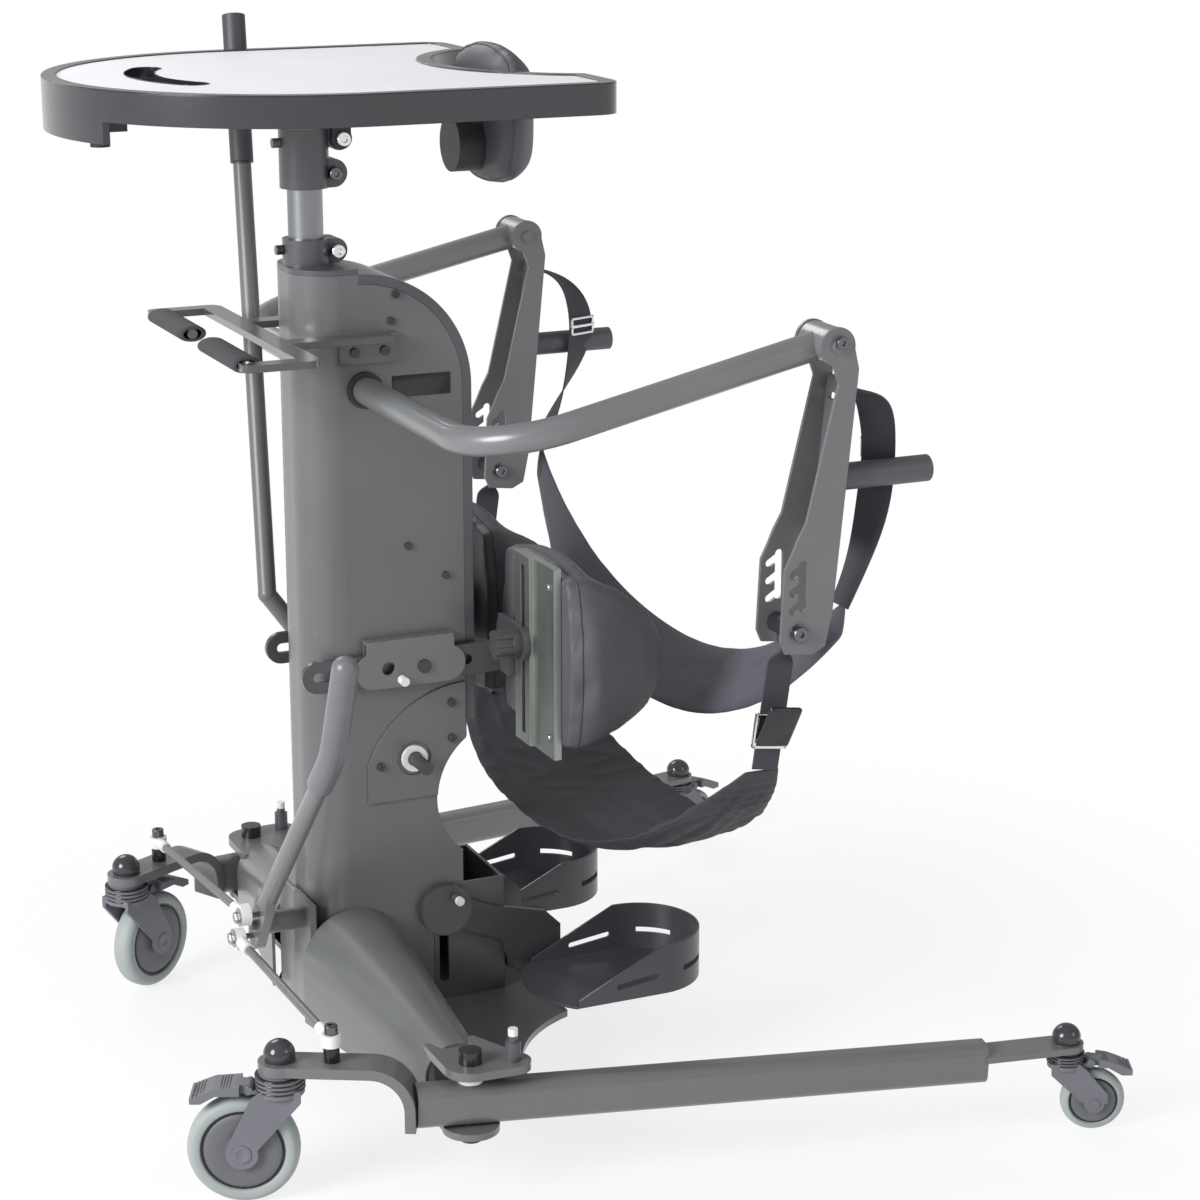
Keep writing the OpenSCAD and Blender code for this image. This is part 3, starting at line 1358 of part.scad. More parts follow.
module left_knee_rail() {
    low = knee_pad_z - knee_pad_h / 2 + 4;
    top = knee_pad_z + knee_pad_h / 2 - 8;
    color(pale_grey) difference() {
        union() {
            block([rail_x, -rail_y - rail_w / 2, low], [rail_x + rail_t, -rail_y + rail_w / 2 - 50, top]);
            block([rail_x, -rail_y - rail_w / 2 + 46, low], [rail_x + rail_t, -rail_y + rail_w / 2, top]);
        }
        block([rail_x - 1, -rail_y - rail_w / 2 - 1, low - 1], [rail_x + 5, -rail_slot_y - 20, top + 1]);
        block([rail_x - 1, -rail_slot_y - rail_slot_w / 2, low + 12],
            [rail_x + rail_t + 1, -rail_slot_y + rail_slot_w / 2, top - 12]);
    }
}
module right_knee_rail() {
    mirror([0, 1, 0]) left_knee_rail();
}

// Cupped knee pads with side wings
function wing(p) = pow(min(1, abs(p.x) / 0.8), 3.8) * max(0, 1 - pow(abs(p.y) / 0.95, 2.2));
function knee_rise(k, j) = let (p = pad_spot(k, j, 2, 2), e = pow(ring_at(k), 9))
    26 + (1 - e) * (20 + (knee_pad_depth - 46) * wing(p));
module left_knee_pad() {
    front = concat([[knee_pad_x + 46, -knee_pad_y, knee_pad_z]],
        [for (k = [1 : ring_count], j = [0 : turn_count - 1]) let (p = pad_spot(k, j, knee_pad_w, knee_pad_h))
            [knee_pad_x + knee_rise(k, j), -knee_pad_y + p.x, knee_pad_z + p.y]]);
    back = [for (j = [0 : turn_count - 1]) let (p = pad_spot(ring_count, j, knee_pad_w - 12, knee_pad_h - 12))
        [knee_pad_x, -knee_pad_y + p.x, knee_pad_z + p.y]];
    color(pad_black) cushion(front, back, [knee_pad_x, -knee_pad_y, knee_pad_z]);
}
module right_knee_pad() {
    mirror([0, 1, 0]) left_knee_pad();
}

// Foot carriage on the post, and the two heel-cup trays
module foot_carriage() {
    y0 = carriage_in_y;
    y1 = carriage_in_y + carriage_t;
    low = shelf_z;
    color(black) {
        difference() {
            union() {
                both_sides() {
                    side(-y1, -y0) {
                        translate([foot_slot_x, foot_bolt_z]) circle(22);
                        polygon([
                            [foot_slot_x, foot_bolt_z + 22], [carriage_rear_x - 90, foot_bolt_z - 6],
                            [carriage_rear_x - 20, foot_bolt_z - 24], [carriage_rear_x, foot_bolt_z - 44],
                            [carriage_rear_x, low], [post_rear_x + 6, low], [post_rear_x - 6, low + 40],
                            [foot_slot_x, foot_bolt_z - 22]]);
                    }
                    bar_y(foot_slot_x, -y1 - 7, -y0 - 1, foot_bolt_z, 2 * foot_disc_r);
                    bar_y(foot_slot_x, -y0 - 1, -mast_half + post_t, foot_bolt_z, foot_slot_w - 2 * run);
                    block([post_rear_x + 10, -foot_y - 40, low], [carriage_rear_x + 40, -y0, low + shelf_t]);
                }
                block([post_rear_x + 4, -y0 - 1, low], [post_rear_x + 10, y0 + 1, low + 60]);
                block([post_rear_x + 4, -y0 - 1, low], [carriage_rear_x, y0 + 1, low + shelf_t]);
            }
            bar_y(foot_pin_at.x, -y1 - 20, -y0 + 1, foot_pin_at[1], pull_pin_d + 2 * run);
        }
    }
}
module foot_outline(inset) {
    r = foot_w / 2 - inset;
    translate([foot_heel_x - foot_w / 2, -foot_y]) circle(r);
    area([foot_front_x + 30, -foot_y - r], [foot_heel_x - foot_w / 2, -foot_y + r]);
    intersection() {
        translate([foot_front_x + 104, -foot_y]) circle(104);
        area([foot_front_x - 10, -foot_y - r], [foot_front_x + 60, -foot_y + r]);
    }
}
module foot_trays() {
    y0 = -foot_y - foot_w;
    y1 = -foot_y + foot_w;
    rise = foot_floor_z + heel_h;
    color(black) both_sides() difference() {
        union() {
            translate([0, 0, foot_floor_z - foot_t]) linear_extrude(foot_t) foot_outline(0);
            translate([0, 0, foot_floor_z - 1]) linear_extrude(heel_h + 1) difference() {
                foot_outline(0);
                foot_outline(foot_t);
                area([0, y0], [foot_front_x + 34, y1]);
            }
        }
        side(y0, y1) polygon([
            [foot_front_x, foot_floor_z + 6], [foot_front_x + 34, foot_floor_z + 6],
            [foot_heel_x - 76, rise], [foot_heel_x - 76, rise + 10], [foot_front_x, rise + 10]]);
        side(y0, y1)
            slot([foot_heel_x - 132, foot_floor_z + 15], [foot_heel_x - 84, foot_floor_z + 21], 7);
        translate([foot_heel_x - foot_w / 2, -foot_y, foot_floor_z + 20]) linear_extrude(7)
            for (s = [-1, 1]) polygon([[0, 0], foot_w * [0.4, s], foot_w * [1, s * 0.62]]);
    }
}

// Pump lever, its shaft through the jack, and the grip
module pump_lever() {
    v = (pump_tip - pump_bend) / norm(pump_tip - pump_bend);
    grip_start = pump_tip - v * pump_grip_len;
    from = [pump_x, pump_far_y, pump_z];
    color(pale_grey) {
        bar_y(pump_x, -mast_half - 6, pump_far_y + 8, pump_z, pump_shaft_d);
        bar_y(pump_x, -mast_half - 9, -mast_half - 5, pump_z, pump_shaft_d - 4);
        bar_y(pump_x, -pump_stub, -mast_half - 8, pump_z, pump_shaft_d - 2);
        difference() {
            union() {
                bar_y(pump_x, mast_half + 6, pump_far_y + 10, pump_z, 34);
                rod(from, pump_bend, pump_tube_d);
                translate(pump_bend) sphere(d = pump_tube_d + 1);
                rod(pump_bend, pump_tip - v * 8, pump_tube_d);
            }
            bar_y(pump_x, 0, pump_far_y + 8 + run, pump_z, pump_shaft_d + 2 * run);
        }
    }
    color(black) difference() {
        rod(grip_start, pump_tip, pump_grip_d);
        rod(grip_start - v, pump_tip - v * (8 - run), pump_tube_d + 2 * run);
    }
}

// Spring pull pins with white tips
module left_leg_pin() {
    color(white) translate([leg_pin_at.x, leg_pin_at.y, 0]) {
        translate([0, 0, leg_top_z + 7]) cylinder(h = 32.5, d = leg_pin_d);
        translate([0, 0, tongue_top_z + gap / 2]) cylinder(h = 22, d = 17);
        translate([0, 0, tongue_top_z + 20]) cylinder(h = 17, d = 11);
    }
}
module right_leg_pin() {
    mirror([0, 1, 0]) left_leg_pin();
}
module left_knee_pin() {
    y = bracket_out_y + bracket_t;
    color(white) {
        bar_y(knee_pin_at.x, -y - 12, -bracket_out_y, knee_pin_at[1], pull_pin_d);
        bar_y(knee_pin_at.x, -y - 12, -y - gap, knee_pin_at[1], 11);
    }
}
module right_knee_pin() {
    mirror([0, 1, 0]) left_knee_pin();
}
module foot_pin() {
    y = carriage_in_y + carriage_t + 7;
    color(white) {
        bar_y(foot_pin_at.x, -y - 16, -carriage_in_y - 1, foot_pin_at[1], pull_pin_d);
        bar_y(foot_pin_at.x, -y - 16, -y - gap / 2, foot_pin_at[1], 11);
    }
}

at_origin() base_frame();
at_origin() base_fairings();
at_origin() mast_shell();
at_origin() mast_back_cover();
at_origin() mast_top_cap();
at_origin() service_panels();
at_origin() frame_screws();
at_origin() jack_body();
at_origin() shaft_bushes();
at_origin() push_handle();
at_origin() push_grips();
at_origin() knee_bar_brackets();
at_origin() foot_post();
at_origin() left_leg();
at_origin() right_leg();
at_origin() front_left_fork();
at_origin() front_right_fork();
at_origin() rear_left_fork();
at_origin() rear_right_fork();
at_origin() front_left_wheel();
at_origin() front_right_wheel();
at_origin() rear_left_wheel();
at_origin() rear_right_wheel();
at_origin() front_left_pedal();
at_origin() front_right_pedal();
at_origin() rear_left_pedal();
at_origin() rear_right_pedal();
at_origin() spread_lever();
at_origin() spread_grip();
at_origin() left_tie_rod();
at_origin() right_tie_rod();
at_origin() lift_shaft();
at_origin() lift_arms();
at_origin() left_yoke();
at_origin() right_yoke();
at_origin() strap_hardware();
at_origin() sling_straps();
at_origin() sling_seat();
at_origin() sling_back();
at_origin() tray_column();
at_origin() tray_head();
at_origin() tray_rim();
at_origin() tray_panel();
at_origin() tray_mount();
at_origin() chest_pad();
at_origin() left_knee_bar();
at_origin() right_knee_bar();
at_origin() left_knee_rail();
at_origin() right_knee_rail();
at_origin() left_knee_pad();
at_origin() right_knee_pad();
at_origin() foot_carriage();
at_origin() foot_trays();
at_origin() pump_lever();
at_origin() jack_ram();
at_origin() left_leg_pin();
at_origin() right_leg_pin();
at_origin() left_knee_pin();
at_origin() right_knee_pin();
at_origin() foot_pin();
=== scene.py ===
from math import atan2, cos, pi, radians, sin

import bmesh
import bpy
from mathutils import Matrix, Vector, noise


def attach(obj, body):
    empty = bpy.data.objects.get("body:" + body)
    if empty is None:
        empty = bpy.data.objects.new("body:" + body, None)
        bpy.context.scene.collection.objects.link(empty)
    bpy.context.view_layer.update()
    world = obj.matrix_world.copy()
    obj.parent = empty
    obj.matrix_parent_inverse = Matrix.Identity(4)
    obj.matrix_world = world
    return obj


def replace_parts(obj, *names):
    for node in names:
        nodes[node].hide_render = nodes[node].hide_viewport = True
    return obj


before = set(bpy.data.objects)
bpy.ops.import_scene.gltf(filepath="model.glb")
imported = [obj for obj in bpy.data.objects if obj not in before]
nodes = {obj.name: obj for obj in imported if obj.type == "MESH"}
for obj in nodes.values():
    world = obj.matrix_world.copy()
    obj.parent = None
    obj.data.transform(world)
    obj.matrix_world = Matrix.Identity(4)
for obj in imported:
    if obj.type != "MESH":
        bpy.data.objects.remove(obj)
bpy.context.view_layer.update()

MIDDLE_X = 224.6228


def at(x, y, z):
    """A point given in millimetres from the mast's foot, in the shared frame in metres."""
    return Vector(((x - MIDDLE_X) / 1000, y / 1000, z / 1000))


def srgb(red, green, blue):
    return [((c / 255 + 0.055) / 1.055) ** 2.4 if c > 10 else c / 255 / 12.92 for c in (red, green, blue)]


# Materials


class Wire:
    """One output of a material's graph, with arithmetic."""

    def __init__(self, paint, socket):
        self.paint = paint
        self.socket = socket

    def sum(self, operation, *values):
        return self.paint.node("ShaderNodeMath", {"operation": operation}, dict(enumerate(values)))

    def __add__(self, other):
        return self.sum("ADD", self, other)

    def __radd__(self, other):
        return self.sum("ADD", other, self)

    def __sub__(self, other):
        return self.sum("SUBTRACT", self, other)

    def __rsub__(self, other):
        return self.sum("SUBTRACT", other, self)

    def __mul__(self, other):
        return self.sum("MULTIPLY", self, other)

    def __rmul__(self, other):
        return self.sum("MULTIPLY", other, self)

    def above(self, edge, soft=0.0004):
        """1 where the value is above the edge, 0 below it."""
        return self.paint.node(
            "ShaderNodeMapRange", {"clamp": True}, {0: self, 1: edge - soft, 2: edge + soft, 3: 0.0, 4: 1.0})


class Paint:
    """A material with one Principled shader."""

    def __init__(self, name):
        self.material = bpy.data.materials.new(name)
        self.material.use_nodes = True
        self.tree = self.material.node_tree
        self.tree.nodes.clear()
        self.output = self.tree.nodes.new("ShaderNodeOutputMaterial")
        self.coordinates = self.node("ShaderNodeTexCoord", out="Object")

    def node(self, kind, settings=None, inputs=None, out=0):
        made = self.tree.nodes.new(kind)
        for key, value in (settings or {}).items():
            setattr(made, key, value)
        for key, value in (inputs or {}).items():
            if isinstance(value, Wire):
                self.tree.links.new(value.socket, made.inputs[key])
            else:
                made.inputs[key].default_value = value
        return Wire(self, made.outputs[out])

    def noise(self, scale, detail=3.0, roughness=0.55, stretch=(1, 1, 1)):
        place = self.node("ShaderNodeMapping", None, {"Vector": self.coordinates, "Scale": stretch})
        return self.node("ShaderNodeTexNoise", None, {
            "Vector": place, "Scale": scale, "Detail": detail, "Roughness": roughness})

    def cells(self, scale, feature="F1"):
        return self.node("ShaderNodeTexVoronoi", {"feature": feature}, {
            "Vector": self.coordinates, "Scale": scale}, "Distance")

    def axis(self, name):
        return self.node("ShaderNodeSeparateXYZ", None, {0: self.coordinates}, name)

    def mix(self, factor, one, other):
        colors = [c if isinstance(c, Wire) else (*c[:3], 1) for c in (one, other)]
        return self.node("ShaderNodeMix", {"data_type": "RGBA"}, {0: factor, 6: colors[0], 7: colors[1]}, 2)

    def bump(self, height, strength, distance, edge=0.0):
        inputs = {"Height": height, "Strength": strength, "Distance": distance}
        if edge:
            inputs["Normal"] = self.node("ShaderNodeBevel", {"samples": 4}, {"Radius": edge})
        return self.node("ShaderNodeBump", None, inputs)

    def finish(self, **inputs):
        names = {key.replace("_", " ").title().replace("Ior", "IOR"): value for key, value in inputs.items()}
        for key, value in names.items():
            if "Color" in key and not isinstance(value, Wire):
                names[key] = (*value[:3], 1)
        shader = self.node("ShaderNodeBsdfPrincipled", None, names)
        self.tree.links.new(shader.socket, self.output.inputs["Surface"])
        return self.material


def satin_paint(name, color, rough=0.36, coat=0.42):
    """Powder coat: orange peel, faint clouding and a few soft scuffs."""
    paint = Paint(name)
    cloud = paint.noise(9, 4)
    peel = paint.noise(620, 2)
    scuff = paint.noise(38, 6, 0.7).above(0.66, 0.03)
    tone = paint.mix(cloud, [c * 0.88 for c in color], [c * 1.14 for c in color])
    tone = paint.mix(scuff * 0.12, tone, [c * 1.7 for c in color])
    return paint.finish(
        base_color=tone, roughness=cloud * 0.14 + (rough - 0.07) + scuff * 0.08, coat_weight=coat,
        coat_roughness=0.2, normal=paint.bump(peel, 0.14, 0.0004, 0.0014))


def moulded_plastic(name, color, rough=0.46, grain=900):
    """Moulded plastic with a fine spark-eroded grain."""
    paint = Paint(name)
    cloud = paint.noise(14, 3)
    fine = paint.noise(grain, 3, 0.65)
    tone = paint.mix(cloud, [c * 0.86 for c in color], [c * 1.16 for c in color])
    return paint.finish(
        base_color=tone, roughness=cloud * 0.12 + (rough - 0.06), normal=paint.bump(fine, 0.22, 0.0003, 0.0011))


def bare_metal(name, color, rough, stretch):
    """Metal with fine lines along one direction."""
    paint = Paint(name)
    lines = paint.noise(240, 4, 0.6, stretch)
    stain = paint.noise(18, 4)
    tone = paint.mix(stain, [c * 0.9 for c in color], [min(1, c * 1.08) for c in color])
    return paint.finish(
        base_color=tone, metallic=1.0, roughness=lines * 0.16 + stain * 0.06 + (rough - 0.1),
        normal=paint.bump(lines, 0.06, 0.0003, 0.0008))


def foam(name, color):
    """Closed-cell foam rubber."""
    paint = Paint(name)
    pores = paint.cells(1500)
    cloud = paint.noise(40, 4)
    tone = paint.mix(cloud, [c * 0.8 for c in color], [c * 1.25 for c in color])
    return paint.finish(base_color=tone, roughness=cloud * 0.1 + 0.72, normal=paint.bump(pores, 0.3, 0.0005))


def vinyl(name, color):
    """Padding cover: leather grain over soft clouding."""
    paint = Paint(name)
    grain = paint.cells(760, "SMOOTH_F1")
    pebble = paint.noise(1300, 2)
    cloud = paint.noise(16, 4)
    tone = paint.mix(cloud, [c * 0.86 for c in color], [c * 1.16 for c in color])
    return paint.finish(
        base_color=tone, roughness=cloud * 0.16 + 0.46,
        normal=paint.bump(grain * 0.7 + pebble * 0.3, 0.34, 0.0006))


def woven(name, color, across, along, rough=0.8, ribs=0.5):
    """Woven webbing or pack cloth, on the strip's own UV in metres."""
    paint = Paint(name)
    uv = paint.node("ShaderNodeUVMap")
    u = paint.node("ShaderNodeSeparateXYZ", None, {0: uv}, "X")
    v = paint.node("ShaderNodeSeparateXYZ", None, {0: uv}, "Y")
    warp = (u * along).sum("SINE", u * along)
    weft = (v * across).sum("SINE", v * across)
    weave = warp * weft * 0.5 + 0.5 + weft * (ribs * 0.5)
    fuzz = paint.noise(900, 4, 0.7)
    cloud = paint.noise(22, 4)
    tone = paint.mix(weave * 0.6 + fuzz * 0.5, [c * 0.62 for c in color], [c * 1.3 for c in color])
    tone = paint.mix(cloud * 0.3, tone, [c * 1.25 for c in color])
    return paint.finish(
        base_color=tone, roughness=fuzz * 0.1 + (rough - 0.05),
        normal=paint.bump(weave + fuzz * 0.5, 0.4, 0.0004))


def two_tone(name, body, tip, mask):
    """Painted piece with a sleeve or tip of another colour, where the mask is 1."""
    paint = Paint(name)
    side = mask(paint)
    peel = paint.noise(620, 2)
    cloud = paint.noise(11, 4)
    tone = paint.mix(cloud, [c * 0.88 for c in body], [c * 1.14 for c in body])
    tone = paint.mix(side, tone, paint.mix(cloud, [c * 0.85 for c in tip], [min(1, c * 1.15) for c in tip]))
    return paint.finish(
        base_color=tone, roughness=cloud * 0.12 + 0.3 + side * 0.14,
        normal=paint.bump(peel, 0.18, 0.0004, 0.0012))


def higher(millimetres):
    """Mask of what lies above a height."""
    return lambda paint: paint.axis("Z").above(millimetres / 1000)


def on_yoke_grip(paint):
    """Mask of the yoke's hand grip."""
    z = paint.axis("Z")
    return paint.axis("X").above((421 - MIDDLE_X) / 1000) * z.above(0.7695) * (1 - z.above(0.8005))


def on_pump_ends(paint):
    """Mask of the pump lever's grip and of its shaft's free end."""
    return paint.axis("Z").above(1.0685) + (1 - paint.axis("Y").above(-0.066))


def at_foot_pin_tip(paint):
    """Mask of the foot pin's outer end."""
    return 1 - paint.axis("Y").above(-0.0835)


def rod_finish(name, low, high):
    """Painted rod with white rod ends, beyond two Y coordinates in millimetres."""
    paint = Paint(name)
    y = paint.axis("Y")
    end = 1 - y.above(low / 1000) + y.above(high / 1000)
    cloud = paint.noise(30, 3)
    dark, white = srgb(104, 106, 108), WHITE
    tone = paint.mix(cloud, [c * 0.88 for c in dark], [c * 1.14 for c in dark])
    tone = paint.mix(end, tone, paint.mix(cloud, [c * 0.92 for c in white], [c * 1.04 for c in white]))
    return paint.finish(
        base_color=tone, roughness=cloud * 0.12 + 0.34,
        normal=paint.bump(paint.noise(700, 2), 0.15, 0.0003, 0.0009))


def laminate_sheet(name, color):
    """Pale tray board with a faint speckle."""
    paint = Paint(name)
    fleck = paint.cells(420)
    cloud = paint.noise(6, 5)
    tone = paint.mix(cloud, [c * 0.95 for c in color], [min(1, c * 1.04) for c in color])
    tone = paint.mix((1 - fleck * 1.6) * 0.06, tone, [c * 0.75 for c in color])
    return paint.finish(
        base_color=tone, roughness=cloud * 0.1 + 0.38,
        normal=paint.bump(paint.noise(500, 2), 0.06, 0.0003, 0.001))


CHARCOAL = srgb(98, 100, 100)
ARM_GREY = srgb(106, 108, 110)
BLACK = srgb(40, 40, 44)
SLEEVE = srgb(80, 81, 86)
WHITE = srgb(222, 222, 220)
frame_paint = satin_paint("frame_paint", CHARCOAL)
arm_paint = satin_paint("arm_paint", ARM_GREY, 0.32)
mast_paint = satin_paint("mast_paint", srgb(90, 92, 93), 0.4)
cover_paint = satin_paint("cover_paint", srgb(70, 71, 75), 0.4)
bar_paint = satin_paint("bar_paint", srgb(64, 64, 67), 0.38)
handle_paint = satin_paint("handle_paint", srgb(64, 64, 68), 0.22, 1.0)
black_plastic = moulded_plastic("black_plastic", BLACK)
rim_plastic = satin_paint("rim_plastic", srgb(40, 41, 46), 0.24, 0.5)
tray_plastic = moulded_plastic("tray_plastic", srgb(66, 65, 71), 0.3)
glossy_plastic = moulded_plastic("glossy_plastic", srgb(32, 32, 36), 0.2, 400)
cap_plastic = moulded_plastic("cap_plastic", srgb(58, 58, 63), 0.12, 300)
black_metal = satin_paint("black_metal", srgb(32, 32, 34), 0.24)
fork_plastic = moulded_plastic("fork_plastic", srgb(104, 105, 112))
white_plastic = moulded_plastic("white_plastic", WHITE, 0.42)
grip_foam = foam("grip_foam", srgb(58, 58, 62))
grip_vinyl = moulded_plastic("grip_vinyl", srgb(106, 106, 112), 0.32, 260)
tyre_rubber = moulded_plastic("tyre_rubber", srgb(150, 157, 157), 0.6, 500)
hub_plastic = moulded_plastic("hub_plastic", srgb(96, 97, 102), 0.5)
steel = bare_metal("steel", srgb(178, 180, 182), 0.34, (1, 1, 0.08))
dark_steel = bare_metal("dark_steel", srgb(112, 113, 116), 0.3, (1, 1, 0.3))
chrome = bare_metal("chrome", srgb(222, 224, 226), 0.16, (1, 0.1, 1))
aluminium = bare_metal("aluminium", srgb(142, 144, 148), 0.36, (1, 1, 0.03))
rail_grey = bare_metal("rail_grey", srgb(168, 173, 168), 0.42, (1, 1, 0.03))
pad_vinyl = vinyl("pad_vinyl", srgb(76, 76, 81))
piping_vinyl = vinyl("piping_vinyl", srgb(66, 66, 71))
seat_cloth = woven("seat_cloth", srgb(54, 54, 60), 7000, 7000, 0.72, 0.2)
# The back band's cloth is lighter than the seat cloth: painted light for the light falling on its inner face
lit_band_cloth = woven("lit_band_cloth", srgb(78, 78, 87), 7000, 7000, 0.6, 0.2)
webbing = woven("webbing", srgb(60, 61, 68), 2400, 3600)
tray_laminate = laminate_sheet("tray_laminate", srgb(242, 243, 247))
bush_finish = two_tone("bush_finish", WHITE, BLACK, higher(600))
pump_finish = two_tone("pump_finish", CHARCOAL, srgb(62, 63, 67), on_pump_ends)
yoke_finish = two_tone("yoke_finish", ARM_GREY, SLEEVE, on_yoke_grip)
pin_finish = two_tone("pin_finish", SLEEVE, WHITE, higher(189))
foot_pin_finish = two_tone("foot_pin_finish", SLEEVE, WHITE, at_foot_pin_tip)

FINISHES = {
    frame_paint: ["base_frame", "base_fairings", "left_leg", "right_leg", "lift_shaft", "knee_bar_brackets"],
    mast_paint: ["mast_shell", "service_panels"],
    cover_paint: ["mast_back_cover", "mast_top_cap", "tray_head", "foot_post"],
    black_plastic: ["tray_mount"],
    bar_paint: ["left_knee_bar", "right_knee_bar", "foot_carriage"],
    handle_paint: ["push_handle"],
    arm_paint: ["lift_arms", "spread_lever"],
    yoke_finish: ["left_yoke", "right_yoke"],
    pump_finish: ["pump_lever"],
    rod_finish("left_rod_finish", -301, -56): ["left_tie_rod"],
    rod_finish("right_rod_finish", -4, 301): ["right_tie_rod"],
    rim_plastic: ["tray_rim"],
    tray_plastic: ["foot_trays"],
    black_metal: ["frame_screws"],
    steel: ["jack_body", "jack_ram"],
    white_plastic: ["left_knee_pin", "right_knee_pin"],
    pin_finish: ["left_leg_pin", "right_leg_pin"],
    foot_pin_finish: ["foot_pin"],
    bush_finish: ["shaft_bushes"],
    aluminium: ["tray_column"],
    rail_grey: ["left_knee_rail", "right_knee_rail"],
    tray_laminate: ["tray_panel"],
    fork_plastic: [f"{end}_{side}_{piece}" for end in ("front", "rear") for side in ("left", "right")
                   for piece in ("fork", "pedal")],
}
for finish, names in FINISHES.items():
    for name in names:
        nodes[name].data.materials.clear()
        nodes[name].data.materials.append(finish)


# Making pieces


def piece(name, bm, material, body, smooth=True, subdivide=0, bevel=0.0):
    """A mesh as a piece of the object that rides on a body."""
    bmesh.ops.recalc_face_normals(bm, faces=bm.faces)
    mesh = bpy.data.meshes.new(name)
    bm.to_mesh(mesh)
    bm.free()
    made = bpy.data.objects.new(name, mesh)
    bpy.context.scene.collection.objects.link(made)
    mesh.materials.append(material)
    if bevel:
        edge = made.modifiers.new("edge", "BEVEL")
        edge.width = bevel
        edge.segments = 3
        edge.limit_method = "ANGLE"
    if subdivide:
        fine = made.modifiers.new("fine", "SUBSURF")
        fine.levels = fine.render_levels = subdivide
    if smooth:
        mesh.polygons.foreach_set("use_smooth", [True] * len(mesh.polygons))
        if not subdivide:
            mesh.set_sharp_from_angle(angle=radians(38))
    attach(made, body)
    return made


def lathe(bm, profile, place, steps=64):
    """Turns a closed profile of (radius, height) in millimetres about the place's Z axis."""
    verts = [bm.verts.new((r / 1000, 0, h / 1000)) for r, h in profile]
    edges = [bm.edges.new((a, b)) for a, b in zip(verts, verts[1:] + verts[:1])]
    made = bmesh.ops.spin(
        bm, geom=verts + edges, cent=(0, 0, 0), axis=(0, 0, 1), angle=2 * pi, steps=steps, use_merge=True)
    ring = {v for v in made["geom_last"] if isinstance(v, bmesh.types.BMVert)} | set(verts)
    reach = set(ring)
    edge_of = list(ring)
    while edge_of:
        for e in edge_of.pop().link_edges:
            for v in e.verts:
                if v not in reach:
                    reach.add(v)
                    edge_of.append(v)
    bmesh.ops.transform(bm, matrix=place, verts=list(reach))


def block(bm, low, high, place, bevel):
    """A box between two corners in millimetres, in a place's own axes."""
    size = [(b - a) / 1000 for a, b in zip(low, high)]
    middle = [(a + b) / 2000 for a, b in zip(low, high)]
    made = bmesh.ops.create_cube(bm, size=1, matrix=Matrix.Translation(middle) @ Matrix.Diagonal((*size, 1)))
    edges = list({e for v in made["verts"] for e in v.link_edges})
    got = bmesh.ops.bevel(
        bm, geom=edges, offset=bevel / 1000, segments=3, profile=0.5, affect="EDGES", material=-1)
    bmesh.ops.transform(bm, matrix=place, verts=list({v for f in got["faces"] for v in f.verts}))


def facing(direction, origin):
    """A place whose Z axis points along a direction."""
    turn = Vector(direction).to_track_quat("Z", "Y").to_matrix().to_4x4()
    return Matrix.Translation(origin) @ turn


def strip(name, path, width, thick, count, material, body, across=6):
    """Flat webbing along a path of (point, side direction) for f from 0 to 1, with UV in metres."""
    bm = bmesh.new()
    bmesh.ops.create_grid(bm, x_segments=count, y_segments=across, size=1, calc_uvs=True)
    uv = bm.loops.layers.uv.active or bm.loops.layers.uv.new()
    length = sum((path((i + 1) / count)[0] - path(i / count)[0]).length for i in range(count))
    spots = {}
    for v in bm.verts:
        f, g = (v.co.x + 1) / 2, v.co.y
        spots[v] = (f, g)
        for loop in v.link_loops:
            loop[uv].uv = (f * length, g * width / 2000)
    for v, (f, g) in spots.items():
        point, side = path(f)
        v.co = point + side * (g * width / 2000)
    bm.normal_update()
    bmesh.ops.solidify(bm, geom=bm.faces[:], thickness=thick / 1000)
    return piece(name, bm, material, body, bevel=0.0005)


def sweep(name, stops, material, body):
    """A closed round bar through stops of (point, direction, radius in millimetres)."""
    sides = 40
    bm = bmesh.new()
    turn = bm.verts.layers.float.new("turn")
    ring = bmesh.ops.create_circle(bm, cap_ends=True, segments=sides, radius=1)["verts"]
    for v in ring:
        v[turn] = atan2(v.co.y, v.co.x)
    face = ring[0].link_faces[0]
    for count, (point, direction, radius) in enumerate(stops):
        if count:
            made = bmesh.ops.extrude_face_region(bm, geom=[face], use_keep_orig=True)["geom"]
            ring = [g for g in made if isinstance(g, bmesh.types.BMVert)]
            if count > 1:
                bmesh.ops.delete(bm, geom=[face], context="FACES_ONLY")
            face = next(g for g in made if isinstance(g, bmesh.types.BMFace) and len(g.verts) == sides)
        place = facing(direction, point)
        for v in ring:
            v.co = place @ Vector((cos(v[turn]) * radius / 1000, sin(v[turn]) * radius / 1000, 0))
    return piece(name, bm, material, body)


def piping(name, made, loop, radius, body):
    """A round welt along a closed loop, laid on a pad's surface."""
    data = bpy.data.curves.new(name, "CURVE")
    data.dimensions = "3D"
    data.bevel_depth = radius
    data.bevel_resolution = 3
    line = data.splines.new("POLY")
    line.points.add(len(loop) - 1)
    line.use_cyclic_u = True
    for spot, point in zip(line.points, loop):
        spot.co = (*made.closest_point_on_mesh(point)[1], 1)
    holder = bpy.data.objects.new(name, data)
    bpy.context.scene.collection.objects.link(holder)
    mesh = bpy.data.meshes.new_from_object(holder.evaluated_get(bpy.context.evaluated_depsgraph_get()))
    bpy.data.objects.remove(holder)
    bm = bmesh.new()
    bm.from_mesh(mesh)
    bmesh.ops.remove_doubles(bm, verts=bm.verts[:], dist=0.00001)
    piece(name, bm, piping_vinyl, body)


